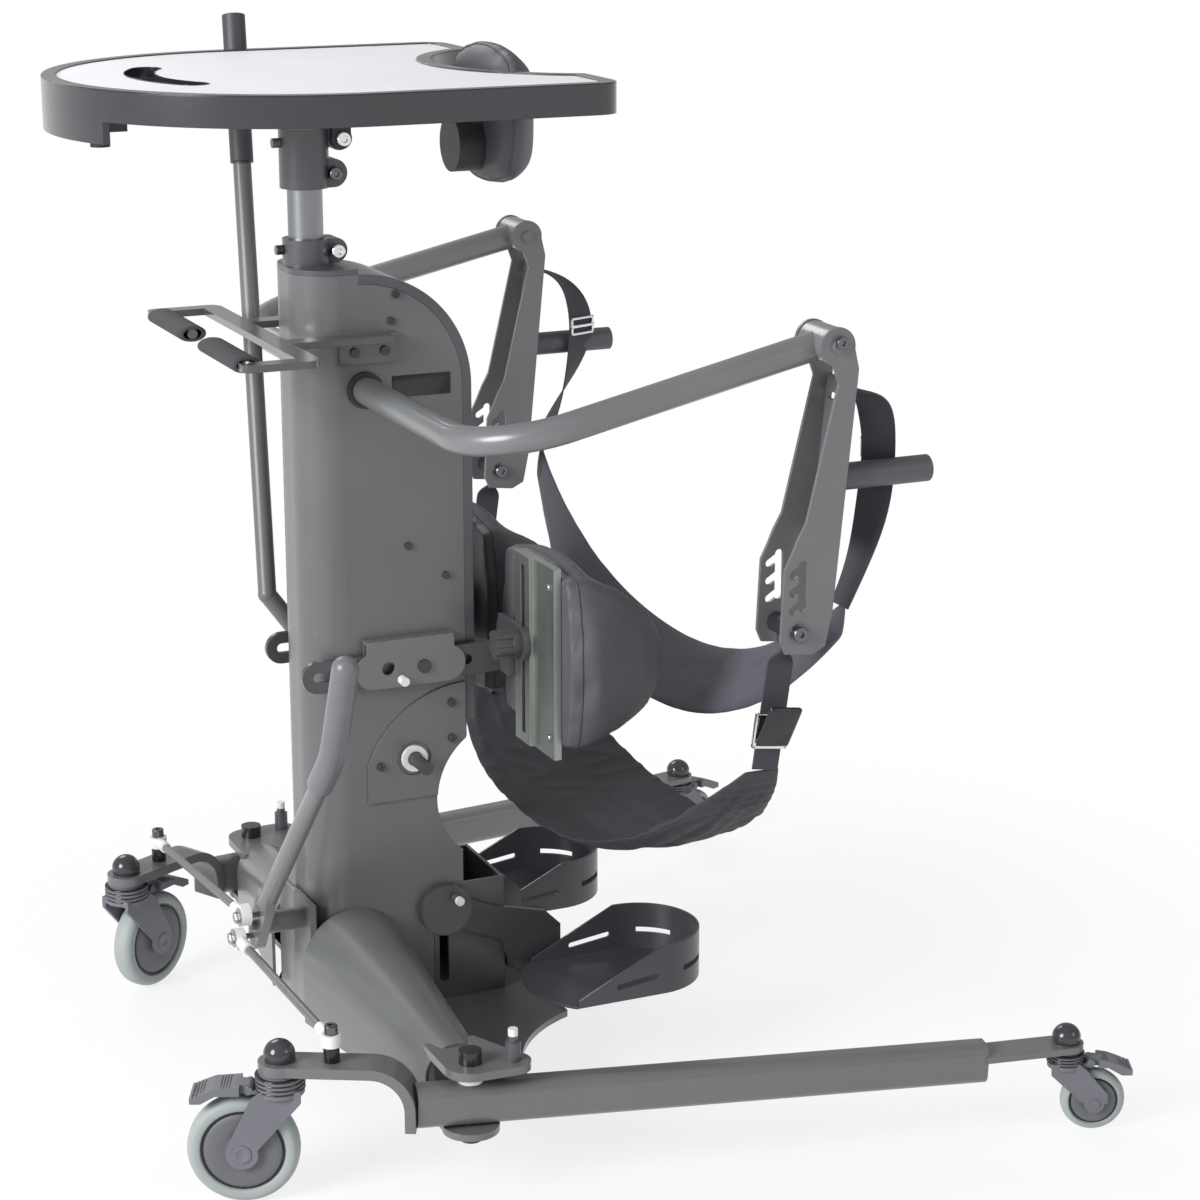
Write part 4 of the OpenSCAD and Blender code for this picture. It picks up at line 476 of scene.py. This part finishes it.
PAD_VOXEL = 0.005
PAD_PRESSURE = 4.0
PAD_FRAMES = 20
PAD_SMOOTHING = 5
PAD_MOVE = 0.006
PIPING_R = 0.0014


def swell(made):
    """Short cloth simulation under inner pressure, its movement capped; the back rests flat on its board."""
    bpy.context.view_layer.objects.active = made
    remesh = made.modifiers.new("remesh", "REMESH")
    remesh.mode = "VOXEL"
    remesh.voxel_size = PAD_VOXEL
    bpy.ops.object.modifier_apply(modifier="remesh")
    rest = [v.co.copy() for v in made.data.vertices]
    cloth = made.modifiers.new("cloth", "CLOTH")
    settings = cloth.settings
    settings.quality = 5
    settings.mass = 0.25
    settings.tension_stiffness = settings.compression_stiffness = 18
    settings.shear_stiffness = 6
    settings.bending_stiffness = 2.5
    settings.use_pressure = True
    settings.uniform_pressure_force = PAD_PRESSURE
    settings.effector_weights.gravity = 0
    cloth.point_cache.frame_start = 1
    cloth.point_cache.frame_end = PAD_FRAMES
    scene = bpy.context.scene
    for step in range(1, PAD_FRAMES + 1):
        scene.frame_set(step)
    bpy.ops.object.modifier_apply(modifier="cloth")
    scene.frame_set(1)
    soft = bmesh.new()
    soft.from_mesh(made.data)
    for _ in range(PAD_SMOOTHING):
        bmesh.ops.smooth_vert(
            soft, verts=soft.verts[:], factor=0.5, use_axis_x=True, use_axis_y=True, use_axis_z=True)
    back = min(start.x for start in rest)
    soft.verts.ensure_lookup_table()
    for v, start in zip(soft.verts, rest):
        move = v.co - start
        if move.length > PAD_MOVE:
            v.co = start + move * (PAD_MOVE / move.length)
        v.co.x = max(v.co.x, back)
    soft.to_mesh(made.data)
    soft.free()


# Padding


def cushion(name, body, cuts, shape, replaced):
    """A stuffed pad: a cut cube whose corners (-1 to 1) are carried to the pad's shape."""
    bm = bmesh.new()
    bmesh.ops.create_cube(bm, size=2)
    bmesh.ops.subdivide_edges(bm, edges=bm.edges[:], cuts=cuts, use_grid_fill=True)
    for v in bm.verts:
        v.co = shape(*v.co)
    made = piece(name, bm, pad_vinyl, body, smooth=False)
    swell(made)
    made.data.polygons.foreach_set("use_smooth", [True] * len(made.data.polygons))
    fine = made.modifiers.new("fine", "SUBSURF")
    fine.levels = fine.render_levels = 1
    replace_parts(made, replaced)
    return made


def rounded(a, b, k=0.5):
    """A square's point moved inwards at its corners."""
    return a * (1 - k * b * b / 2) ** 0.5, b * (1 - k * a * a / 2) ** 0.5


def knee_shape(sign):
    """Cupped pad for one knee, with wings at its sides."""
    def shape(x, y, z):
        u, v = rounded(y, z)
        ring = max(abs(y), abs(z))
        wing = min(1, abs(u) / 0.8) ** 3.8 * max(0, 1 - (abs(v) / 0.95) ** 2.2)
        rise = 26 + (1 - ring ** 9) * (20 + 96 * wing)
        t = (x + 1) / 2
        side = 1 - 0.03 * (1 - t)
        return at(193.8 + rise * t, sign * 126 + 113 * side * u, 540 + 119 * side * v)
    return shape


def chest_shape(x, y, z):
    """Crowned chest pad, thickest in its middle."""
    u, v = rounded(y, z, 0.75)
    ring = max(abs(y), abs(z))
    t = (x + 1) / 2
    rise = 16 + 40 * (1 - ring ** 3) - 6 * u * u
    side = 0.8 + 0.2 * t
    return at(176 + rise * t, 104 * side * u, 1147 + 84 * side * v)


def around(shape, depth):
    """Points of a pad's shape along its rim, at a depth from -1 at its back to 1 at its face."""
    loop = []
    count = 120
    for n in range(count):
        a = 2 * pi * n / count
        k = max(abs(cos(a)), abs(sin(a)))
        loop.append(shape(depth, cos(a) / k, sin(a) / k))
    return loop


for name, body, cuts, shape, replaced, seam in (
        ("left_knee_cushion", "left_knee_pad", 22, knee_shape(-1), "left_knee_pad", -0.2),
        ("right_knee_cushion", "right_knee_pad", 22, knee_shape(1), "right_knee_pad", -0.2),
        ("chest_cushion", "tray", 18, chest_shape, "chest_pad", 0.3)):
    padding = cushion(name, body, cuts, shape, replaced)
    bpy.context.view_layer.update()
    piping(name.replace("cushion", "piping"), padding, around(shape, seam), PIPING_R, body)

# Slings

ROLLER = (364.47, 623.0)
YOKE_BACK_X = 431.47
ARM_Y = 424
LEAN = radians(8)
SEAT_END = (ROLLER[0] - 166 * sin(LEAN), 418, ROLLER[1] - 166 * cos(LEAN))
SEAT_LOW = 272
SEAT_PATCH_AT = 0.7
BAND_LOW = 466
UPPER_STRAP_WIDTH = 38
LOWER_STRAP_WIDTH = 32
STRAP_THICK = 2.2
BUCKLE_DROP = 116


def power(s, k):
    """A power that keeps the sign."""
    return (1 if s > 0 else -1) * abs(s) ** k


def seat_middle(s):
    """The seat's middle line, from one end at -1 to the other at 1."""
    return (SEAT_END[0] - 10 * (1 - s * s), SEAT_END[1] * power(s, 0.92),
            SEAT_LOW + (SEAT_END[2] - SEAT_LOW) * abs(s) ** 2.3)


def crease(s, t, depth):
    """Soft folds that fan in from the gathered ends, and sharp little wrinkles across the cloth."""
    near = max(0, (abs(s) - 0.45) / 0.55)
    fold = noise.noise(Vector((s * 3.1, t * 5.3, 0.7))) + 0.6 * noise.noise(Vector((s * 9, t * 11, 3.1)))
    fan = sin(t * 15 + 2.4 * noise.noise(Vector((s * 4, t * 2, 5)))) * near * (1 - near)
    ridge = 1 - abs(noise.noise(Vector((s * 12 + t * 1.6, t * 1.9, 9.3))))
    return depth * (0.5 * fold + 1.8 * fan + ridge ** 6)


def gathers(s):
    """Ribs where the ends are drawn together."""
    e = (abs(s) - 0.8) / 0.16
    return 3.4 * sin(8 * pi * e) * sin(pi * e) ** 0.5 if 0 < e < 1 else 0


def seat_spot(s, t, up):
    """A point of the seat's upper (1) or lower (-1) skin."""
    c = seat_middle(s)
    a, b = seat_middle(s - 0.02), seat_middle(s + 0.02)
    slope = atan2(b[2] - a[2], b[1] - a[1])
    half = 102 - 82 * abs(s) ** 2.6
    channel = 0.45 + 0.55 * abs(sin(radians(270 * t + 90)))
    thick = 3 + 11 * (1 - abs(t) ** 6) * channel * (1 - abs(s) ** 4)
    lift = up * thick / 2 + crease(s, t, 3.2) * (1 - abs(s) ** 8) + gathers(s) * (1 - t ** 4)
    return at(
        c[0] + half * t, c[1] - sin(slope) * lift,
        c[2] + 16 * t * t * (1 - s * s) + cos(slope) * lift)


def back_spot(s, t, up):
    """A point of the back band's upper (1) or lower (-1) skin."""
    c = (YOKE_BACK_X + 3.5 - 30 * (1 - s * s), ARM_Y * power(s, 0.9),
         BAND_LOW + (ROLLER[1] - BAND_LOW) * abs(s) ** 2.2)
    half = 46 - 26 * abs(s) ** 3
    tilt = radians(40 + 45 * abs(s))
    thick = 3 + 8 * (1 - abs(t) ** 4)
    lift = up * thick / 2 + crease(s, t, 1.6) * (1 - abs(s) ** 8)
    return at(
        c[0] + half * t * cos(tilt) - sin(tilt) * lift, c[1], c[2] + half * t * sin(tilt) + cos(tilt) * lift)


def quilt(name, spot, long, wide, material, replaced):
    """A padded panel between an upper and a lower skin, with UV in metres."""
    bm = bmesh.new()
    bmesh.ops.create_grid(bm, x_segments=long, y_segments=wide, size=1, calc_uvs=True)
    first = bm.verts.layers.float.new("s")
    second = bm.verts.layers.float.new("t")
    uv = bm.loops.layers.uv.active or bm.loops.layers.uv.new()
    for v in bm.verts:
        v[first], v[second] = v.co.x, v.co.y
        for loop in v.link_loops:
            loop[uv].uv = (v.co.x * 0.5, v.co.y * 0.12)
    lower = bm.verts[:]
    made = bmesh.ops.extrude_face_region(bm, geom=bm.faces[:], use_keep_orig=True)
    upper = [g for g in made["geom"] if isinstance(g, bmesh.types.BMVert)]
    for group, up in ((lower, -1), (upper, 1)):
        for v in group:
            v.co = spot(v[first], v[second], up)
    made = piece(name, bm, material, "yokes", subdivide=1)
    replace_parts(made, replaced)


quilt("seat_sling", seat_spot, 150, 36, seat_cloth, "sling_seat")
quilt("back_band", back_spot, 84, 12, lit_band_cloth, "sling_back")


def seat_patch(s):
    """Across the seat at one place of its length, on the upper skin."""
    def path(f):
        t = 1.88 * f - 0.94
        along = (seat_spot(s + 0.01, t, 1) - seat_spot(s - 0.01, t, 1)).normalized()
        across = (seat_spot(s, min(1, t + 0.02), 1) - seat_spot(s, max(-1, t - 0.02), 1)).normalized()
        over = along.cross(across)
        over *= -1 if over.z < 0 else 1
        return seat_spot(s, t, 1) + over * 0.0016, along
    return path


for sign, side in ((-1, "left"), (1, "right")):
    strip(f"{side}_seat_patch", seat_patch(sign * SEAT_PATCH_AT), 40, 1.8, 30, webbing, "yokes")


def upper_path(sign):
    """From the yoke's web out past the inner side of the hand grip, twisted there, to the back band's end."""
    def point(f):
        a, b, c = (1 - f) ** 2, 2 * f * (1 - f), f * f
        x = a * 428 + b * (YOKE_BACK_X + 112) + c * YOKE_BACK_X
        z = a * 888 + b * 856 + c * 639
        return at(x, sign * (ARM_Y - 21 * sin(pi * f) ** 2), z)

    def path(f):
        along = (point(min(1, f + 0.01)) - point(max(0, f - 0.01))).normalized()
        flat = Vector((0, 1, 0))
        edge = along.cross(flat).normalized()
        turn = radians(74) * sin(pi * f) ** 2
        return point(f), flat * cos(turn) + edge * (sign * sin(turn))
    return path


def lower_path(sign):
    """Down from the roller, turned by a quarter there, to the seat's gathered end."""
    def path(f):
        d = 11.6 + f * 152
        k = min(1, max(0, f - 0.01) / 0.2)
        turn = radians(90) * k * k * (3 - 2 * k)
        side = Vector((0, 1, 0)) * cos(turn) + Vector((cos(LEAN), 0, -sin(LEAN))) * sin(turn)
        return at(ROLLER[0] - d * sin(LEAN), sign * ARM_Y, ROLLER[1] - d * cos(LEAN)), side
    return path


for sign, side in ((-1, "left"), (1, "right")):
    upper = strip(
        f"{side}_upper_strap", upper_path(sign), UPPER_STRAP_WIDTH, STRAP_THICK, 40, webbing, "yokes")
    strip(f"{side}_lower_strap", lower_path(sign), LOWER_STRAP_WIDTH, STRAP_THICK, 48, webbing, "yokes")
    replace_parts(upper, "sling_straps")
    point, flat = upper_path(sign)(0.5)
    along = (upper_path(sign)(0.52)[0] - upper_path(sign)(0.48)[0]).normalized()
    inner = flat.cross(along).normalized()
    inner *= -1 if inner.y * sign > 0 else 1
    seat = Matrix((flat, along, inner)).transposed().to_4x4()
    seat.translation = point
    slide = bmesh.new()
    for low, high in (((-19.5, -12, 1.3), (-16, 12, 4.3)), ((16, -12, 1.3), (19.5, 12, 4.3)),
                      ((-19.5, 8.6, 1.3), (19.5, 12, 4.3)), ((-19.5, -12, 1.3), (19.5, -8.6, 4.3)),
                      ((-19.5, -2, 2.4), (19.5, 2, 5.4))):
        block(slide, low, high, seat, 1)
    piece(f"{side}_slide_buckle", slide, chrome, "yokes")

# Strap rollers, bolts and cam buckles
for sign, side in ((-1, "left"), (1, "right")):
    roller = bmesh.new()
    across = facing((0, 1, 0), at(ROLLER[0], sign * ARM_Y, ROLLER[1]))
    lathe(roller, [(5.2, -24), (10.4, -24), (11, -23.2), (11, 23.2), (10.4, 24), (5.2, 24)], across)
    rolled = piece(f"{side}_strap_roller", roller, black_plastic, "yokes")
    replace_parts(rolled, "strap_hardware")
    bolt = bmesh.new()
    lathe(bolt, [(0.02, -30.4), (5, -30.4), (5, 30.4), (0.02, 30.4)], across, 40)
    for end in (-1, 1):
        head = facing((0, end, 0), at(ROLLER[0], sign * ARM_Y + end * 30, ROLLER[1]))
        lathe(bolt, [(5.2, 0.2), (11, 0.2), (11, 1.5), (5.2, 1.5)], head, 40)
        lathe(bolt, [(3.4, 4.6), (3.4, 7), (7.6, 7), (8.8, 5.6), (8.8, 1.5), (0.02, 1.5), (0.02, 4.6)],
              head, 40)
    piece(f"{side}_roller_bolt", bolt, dark_steel, "yokes")
    buckle = Matrix.Translation(
        at(ROLLER[0] - BUCKLE_DROP * sin(LEAN), sign * ARM_Y, ROLLER[1] - BUCKLE_DROP * cos(LEAN)))
    buckle = buckle @ Matrix.Rotation(LEAN, 4, "Y") @ Matrix.Rotation(sign * pi / 2, 4, "Z")
    ring = bmesh.new()
    for low, high in (((-3.4, -21, 12), (3.4, 21, 17)), ((-3.4, -21, -23), (3.4, 21, -18)),
                      ((-3.4, -21, -23), (3.4, -17.2, 17)), ((-3.4, 17.2, -23), (3.4, 21, 17))):
        block(ring, low, high, buckle, 1.5)
    piece(f"{side}_buckle_frame", ring, chrome, "yokes")
    cam = bmesh.new()
    tongue = buckle @ Matrix.Translation((0.006, 0, -0.018)) @ Matrix.Rotation(radians(24), 4, "Y")
    block(cam, (-3.6, -20, 0), (3.6, 20, 54), tongue, 3.4)
    block(cam, (-6, -16.6, -6), (-1.6, 16.6, 10), buckle, 1.6)
    piece(f"{side}_buckle_cam", cam, glossy_plastic, "yokes")

# Grips: flat foam sleeves on the push handle, a bent vinyl sleeve on the spread lever
GRIP_START = (-158, 34, 909)
for sign, side in ((-1, "left"), (1, "right")):
    grip = bmesh.new()
    start = at(GRIP_START[0], sign * GRIP_START[1], GRIP_START[2])
    place = facing((0, sign, 0), start) @ Matrix.Diagonal((1.2, 0.66, 1, 1))
    wall = [(9.4, 0), (11.4, 0), (13.2, 1.6), (14, 5)] + [(14, 10 + 4 * n) for n in range(29)] + [
        (14, 127), (13.2, 130.4), (11.4, 132), (9.4, 132)]
    lathe(grip, wall, place, 48)
    made = piece(f"{side}_push_foam", grip, grip_foam, "frame")
    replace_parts(made, "push_grips")

BEND = at(-100, -247.2, 482.7)
DOWN = (at(-122, -52.94, 242.77) - BEND).normalized()
UP = Vector((0, -sin(radians(23)), cos(radians(23))))
SLEEVE_R = 15
sleeve = [(BEND + DOWN * 0.058, -DOWN, 13.8), (BEND + DOWN * 0.0575, -DOWN, 14.6),
          (BEND + DOWN * 0.056, -DOWN, SLEEVE_R)]
for n in range(9):
    f = n / 8
    spot = BEND + DOWN * (0.02 * (1 - f) ** 2) + UP * (0.02 * f ** 2)
    sleeve.append((spot, UP * f - DOWN * (1 - f), 15.2))
sleeve.append((BEND + UP * 0.122, UP, SLEEVE_R))
for n in range(1, 9):
    a = radians(11 * n)
    sleeve.append((BEND + UP * (0.124 + 0.015 * sin(a)), UP, max(0.4, SLEEVE_R * cos(a))))
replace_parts(sweep("spread_sleeve", sleeve, grip_vinyl, "spread_lever"), "spread_grip")

# Casters: grey tyre, smooth hub cover with a black ring in the gap round it as painted shade, axle caps, pedal
# grooves and domed stem caps
# Each row has the stem's x and y, the turn in degrees, the wheel's radius and width, and the trail
CASTERS = {
    "front_left": (-192.57, -311.25, 156, 62.5, 30, 42), "front_right": (-192.57, 311.25, 34, 62.5, 30, 42),
    "rear_left": (691.72, -516.96, -24, 37.5, 24, 33), "rear_right": (691.72, 516.96, 24, 37.5, 24, 33)}
for name, (x, y, turn, r, w, trail) in CASTERS.items():
    front = name.startswith("front")
    leg = "left_leg" if name.endswith("left") else "right_leg"
    caster = Matrix.Translation(at(x, y, 0)) @ Matrix.Rotation(radians(turn), 4, "Z")
    place = caster @ facing((0, 1, 0), Vector((trail / 1000, 0, r / 1000)))
    half, hub = w / 2, 0.752 * r
    tyre = bmesh.new()
    edge = [(hub, half - 3.6), (hub + 0.6, half - 2.0), (hub + 1.6, half - 1.3), (r - 8, half - 1.2),
            (r - 6.4, half - 1.6), (r - 5.4, half - 2.0), (r - 2.6, half - 4.2), (r - 0.9, half - 7),
            (r - 0.2, half - 10)]
    lathe(tyre, edge + [(r, 0)] + [(a, -b) for a, b in reversed(edge)], place, 96)
    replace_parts(piece(f"{name}_tyre", tyre, tyre_rubber, f"{name}_wheel"), f"{name}_wheel")
    disc = bmesh.new()
    edge = [(5.3, half - 1), (0.3 * r, half - 1.1), (0.33 * r, half - 1.7), (0.36 * r, half - 1.2),
            (0.6 * r, half - 1.5), (0.675 * r, half - 2.2), (0.695 * r, half - 3.2), (0.7 * r, half - 4.6)]
    lathe(disc, edge + [(a, -b) for a, b in reversed(edge)], place, 72)
    piece(f"{name}_hub", disc, hub_plastic, f"{name}_wheel")
    # A glossy black ring set into the gap between hub cover and tyre, as painted shade of the gap
    gap_shade = bmesh.new()
    edge = [(0.705 * r, half - 5), (hub - 0.2, half - 5)]
    lathe(gap_shade, edge + [(a, -b) for a, b in reversed(edge)], place, 72)
    piece(f"{name}_hub_gap_shade", gap_shade, glossy_plastic, f"{name}_wheel")
    axle = bmesh.new()
    cheek = half + 6.5
    for side in (-1, 1):
        end = caster @ facing((0, side, 0), Vector((trail / 1000, side * cheek / 1000, r / 1000)))
        k = r / 62.5
        lathe(axle, [(0.02, 0.1), (11 * k, 0.1), (10.4 * k, 1), (7 * k, 1.3), (6.4 * k, 0.9), (0.02, 0.9)],
              end, 48)
    piece(f"{name}_axle_caps", axle, fork_plastic, f"{name}_fork")
    crown, tip, reach = (27, 98, 16) if front else (21, 76, 11)
    level = 2 * r + 10
    grooves = bmesh.new()
    for n in range(4):
        x1 = tip - 34 - 3.2 * n if front else tip - 29 - 2.4 * n
        z1 = level + 6 - 2 * (x1 - crown - 16) / (tip - 42 - crown)
        block(grooves, (x1 - 0.6, -reach, z1 - 0.5), (x1 + 0.6, reach, z1 + 0.35), caster, 0.2)
        x2 = tip - 5 - 3.4 * n
        z2 = level + 4 - 10 * (x2 - tip + 26) / 26
        tilt = caster @ Matrix.Translation((x2 / 1000, 0, z2 / 1000)) @ Matrix.Rotation(radians(21), 4, "Y")
        block(grooves, (-0.7, -reach, -0.5), (0.7, reach, 0.5), tilt, 0.2)
    piece(f"{name}_pedal_grooves", grooves, cap_plastic, f"{name}_pedal")
    base, cap_r, cap_h = (166.2, 17, 24) if front else (108.2, 16, 22)
    dome = bmesh.new()
    ball = (cap_r ** 2 + (0.55 * cap_h) ** 2) / (1.1 * cap_h)
    top = atan2(cap_r, ball - 0.55 * cap_h)
    outline = [(0.02, 0.1), (cap_r - 0.2, 0.1), (cap_r + 0.5, 1), (cap_r + 0.5, 0.45 * cap_h - 0.6)]
    outline += [((ball + 0.4) * sin(top * (1 - n / 12)), cap_h - ball + (ball + 0.4) * cos(top * (1 - n / 12)))
                for n in range(12)]
    lathe(dome, outline + [(0.02, cap_h + 0.4)], Matrix.Translation(at(x, y, base)), 56)
    piece(f"{name}_stem_cap", dome, cap_plastic, leg)
    ribs = bmesh.new()
    low, high = (2 * r + 5, 153) if front else (2 * r + 5, 99)
    for n in range(4):
        z = low + 5 + (high - low - 8) * n / 3
        lathe(ribs, [(crown - 3.6, z - 0.9), (crown + 0.5, z - 0.9), (crown + 1, z), (crown + 0.5, z + 0.9),
                     (crown - 3.6, z + 0.9)], Matrix.Translation(at(x, y, 0)), 64)
    piece(f"{name}_bearing_rings", ribs, glossy_plastic, f"{name}_fork")

# Flat black hexagons on the mast and panel screw heads, as painted shade standing in for their hex sockets
shade_hexagons = bmesh.new()
for side in (-1, 1):
    for x, z, depth in ((52, 955, 63), (46, 925, 63), (108, 620, 63), (62, 660, 63),
                        (112, 464, 65.6), (112, 420, 65.6), (22, 396, 65.6)):
        head = facing((0, side, 0), at(x, side * depth, z))
        lathe(shade_hexagons, [(0.02, -0.4), (2.1, -0.4), (2.1, 0.06), (0.02, 0.06)], head, 6)
# Each hexagon is a dark sheet just proud of the head: painted shade of a socket, not a hollow
piece("screw_socket_shade", shade_hexagons, black_plastic, "frame", smooth=False)

# Cap screws of the collar, the tilt head and the yokes


def cap_screw(bm, direction, origin, r, length, hex_r):
    """A cap screw's head on a face, with its hex socket open at the end."""
    head = facing(direction, origin)
    lathe(bm, [(hex_r, length - 2.2), (hex_r, length), (r - 0.9, length), (r, length - 0.9), (r, 0), (0.02, 0),
               (0.02, length - 2.2)], head, 32)


clamp = bmesh.new()
cap_screw(clamp, (0, -1, 0), at(-2, -15.2, 1002), 7.9, 11.6, 3.6)
piece("collar_clamp_screw", clamp, chrome, "frame")
tilt_screws = bmesh.new()
for side in (-1, 1):
    cap_screw(tilt_screws, (0, side, 0), at(6, side * 22.6, 1128), 8.2, 8.6, 3.8)
piece("tilt_screws", tilt_screws, chrome, "tray")
head_screw = bmesh.new()
cap_screw(head_screw, (0, -1, 0), at(-2, -15.2, 1089), 7.4, 9.4, 3.4)
piece("head_clamp_screw", head_screw, dark_steel, "tray_post")
YOKE_PIVOT = (407.5, 458.1, 940)
yoke_screws = bmesh.new()
for side in (-1, 1):
    cap_screw(yoke_screws, (0, side, 0), at(YOKE_PIVOT[0], side * YOKE_PIVOT[1], YOKE_PIVOT[2]), 7, 3.6, 3.2)
piece("yoke_screws", yoke_screws, dark_steel, "yokes")

# Rod end screws at the legs, nuts at the spread lever
ROD_STUD = (-141.55, 338.08)
for sign, leg in ((-1, "left_leg"), (1, "right_leg")):
    stud = bmesh.new()
    cap_screw(stud, (0, 0, 1), at(ROD_STUD[0], sign * ROD_STUD[1], 199), 7.5, 10, 3.2)
    piece(f"{leg}_rod_screw", stud, dark_steel, leg)
    collar = bmesh.new()
    lathe(collar, [(6, 0.2), (8.6, 0.2), (9, 0.8), (9, 16), (8.4, 17.4), (6, 17.4)],
          Matrix.Translation(at(ROD_STUD[0], sign * ROD_STUD[1], 166)), 40)
    piece(f"{leg}_stud_collar", collar, glossy_plastic, leg)
nuts = bmesh.new()
for y, z in ((-17.4, 192), (-42.6, 228)):
    stud = facing((-1, 0, 0), at(-151.4, y, z))
    lathe(nuts, [(3.6, 0), (11.2, 0), (11.2, 1), (3.6, 1)], stud, 40)
    lathe(nuts, [(0.02, 1), (6.6, 1), (7.2, 1.8), (7.2, 5.4), (6.2, 6.4), (3, 6.4), (3, 5.2), (0.02, 5.2)],
          stud, 6)
piece("lever_stud_nuts", nuts, steel, "spread_lever")

# Knee rail screws and the plain plate on the mast
for sign, side in ((-1, "left"), (1, "right")):
    rail_screws = bmesh.new()
    for z in (628, 448):
        cap_screw(rail_screws, (-1, 0, 0), at(184.2, sign * 188, z), 4.2, 2.6, 1.9)
    piece(f"{side}_rail_screws", rail_screws, steel, f"{side}_knee_pad")
plate = bmesh.new()
block(plate, (46, -60.9, 836), (117, -60.15, 861), Matrix.Translation(at(0, 0, 0)), 0.3)
piece("mast_plate", plate, glossy_plastic, "frame")

# Lining of the hand slot, and the plate at the mast's foot
TRAY_MIDDLE_X = -43
PANEL_MIDDLE_Z = 1197


def slot_path(f):
    """Round the tray's curved hand slot, at the middle of the panel's thickness."""
    turn, middle, half = radians(33), 168, 16.2
    outer, cap, inner = 2 * turn * (middle + half), pi * half, 2 * turn * (middle - half)
    d = f * (outer + inner + 2 * cap)
    if d < outer:
        angle, r, swing = -turn + d / (middle + half), middle + half, None
    elif d < outer + cap:
        angle, r, swing = turn, middle, (d - outer) / half
    elif d < outer + cap + inner:
        angle, r, swing = turn - (d - outer - cap) / (middle - half), middle - half, None
    else:
        angle, r, swing = -turn, middle, pi + (d - outer - cap - inner) / half
    point = Vector((-cos(angle), sin(angle))) * r
    if swing is not None:
        outwards, onwards = Vector((-cos(angle), sin(angle))), Vector((sin(angle), cos(angle)))
        point += (outwards * cos(swing) + onwards * sin(swing)) * half
    return at(TRAY_MIDDLE_X + point.x, point.y, PANEL_MIDDLE_Z), Vector((0, 0, 1))


strip("hand_slot_lining", slot_path, 12.6, 1.2, 180, glossy_plastic, "tray", 2)
front_plate = bmesh.new()
block(front_plate, (-69.6, 0.6, 92.6), (-62.4, 59.4, 233.4), Matrix.Translation(at(0, 0, 0)), 1)
piece("mast_front_plate", front_plate, frame_paint, "frame")

# Floor, light and camera
floor = bpy.data.objects.new("floor", bpy.data.meshes.new("floor"))
ground = bmesh.new()
bmesh.ops.create_grid(ground, x_segments=1, y_segments=1, size=60)
ground.to_mesh(floor.data)
ground.free()
bpy.context.scene.collection.objects.link(floor)
pale = Paint("pale_floor")
paper = pale.mix(pale.noise(2, 3), (0.86, 0.86, 0.87), (0.9, 0.9, 0.9))
distance = pale.node("ShaderNodeVectorMath", {"operation": "LENGTH"}, {0: pale.coordinates}, "Value")
far = pale.node("ShaderNodeMapRange", {"interpolation_type": "SMOOTHSTEP"}, {
    0: distance, 1: 0.5, 2: 1.3, 3: 0.78, 4: 1.0})
matt = pale.node("ShaderNodeBsdfPrincipled", None, {
    "Base Color": paper, "Roughness": 0.9, "Specular IOR Level": 0.0})
white = pale.node("ShaderNodeEmission", None, {"Color": (1, 1, 1, 1), "Strength": 1.0})
mixed = pale.node("ShaderNodeMixShader", None, {0: far, 1: matt, 2: white})
pale.tree.links.new(mixed.socket, pale.output.inputs["Surface"])
floor.data.materials.append(pale.material)


def lamp(name, place, target, size, watts):
    """A round soft light that looks at a target."""
    data = bpy.data.lights.new(name, "AREA")
    data.shape = "DISK"
    data.size = size
    data.energy = watts
    made = bpy.data.objects.new(name, data)
    made.location = place
    made.rotation_euler = (Vector(target) - Vector(place)).to_track_quat("-Z", "Y").to_euler()
    bpy.context.scene.collection.objects.link(made)


lamp("key_light", (-4.5, -1.5, 2.6), (0, 0, 0.6), 2.6, 285)
lamp("side_light", (3.2, -4.2, 3.0), (0, 0, 0.6), 2.4, 36)
lamp("back_light", (-0.6, 4.2, 3.8), (0, 0, 0.7), 2.6, 80)

world = bpy.data.worlds.new("studio")
bpy.context.scene.world = world
world.use_nodes = True
studio = world.node_tree
sky = studio.nodes["Background"]
sky.inputs["Color"].default_value = (1, 1, 1, 1)
ray = studio.nodes.new("ShaderNodeLightPath")
level = studio.nodes.new("ShaderNodeMapRange")
level.inputs["To Min"].default_value = 0.45
level.inputs["To Max"].default_value = 1.0
studio.links.new(ray.outputs["Is Camera Ray"], level.inputs["Value"])
studio.links.new(level.outputs["Result"], sky.inputs["Strength"])

camera = bpy.data.objects.new("camera", bpy.data.cameras.new("camera"))
camera.data.lens = 87.78
camera.data.sensor_width = 36
camera.location = (-1.3092, -3.1407, 1.5185)
camera.rotation_euler = (radians(74.27), 0, radians(-24.29))
bpy.context.scene.collection.objects.link(camera)
bpy.context.scene.camera = camera
bpy.context.scene.view_settings.view_transform = "Standard"
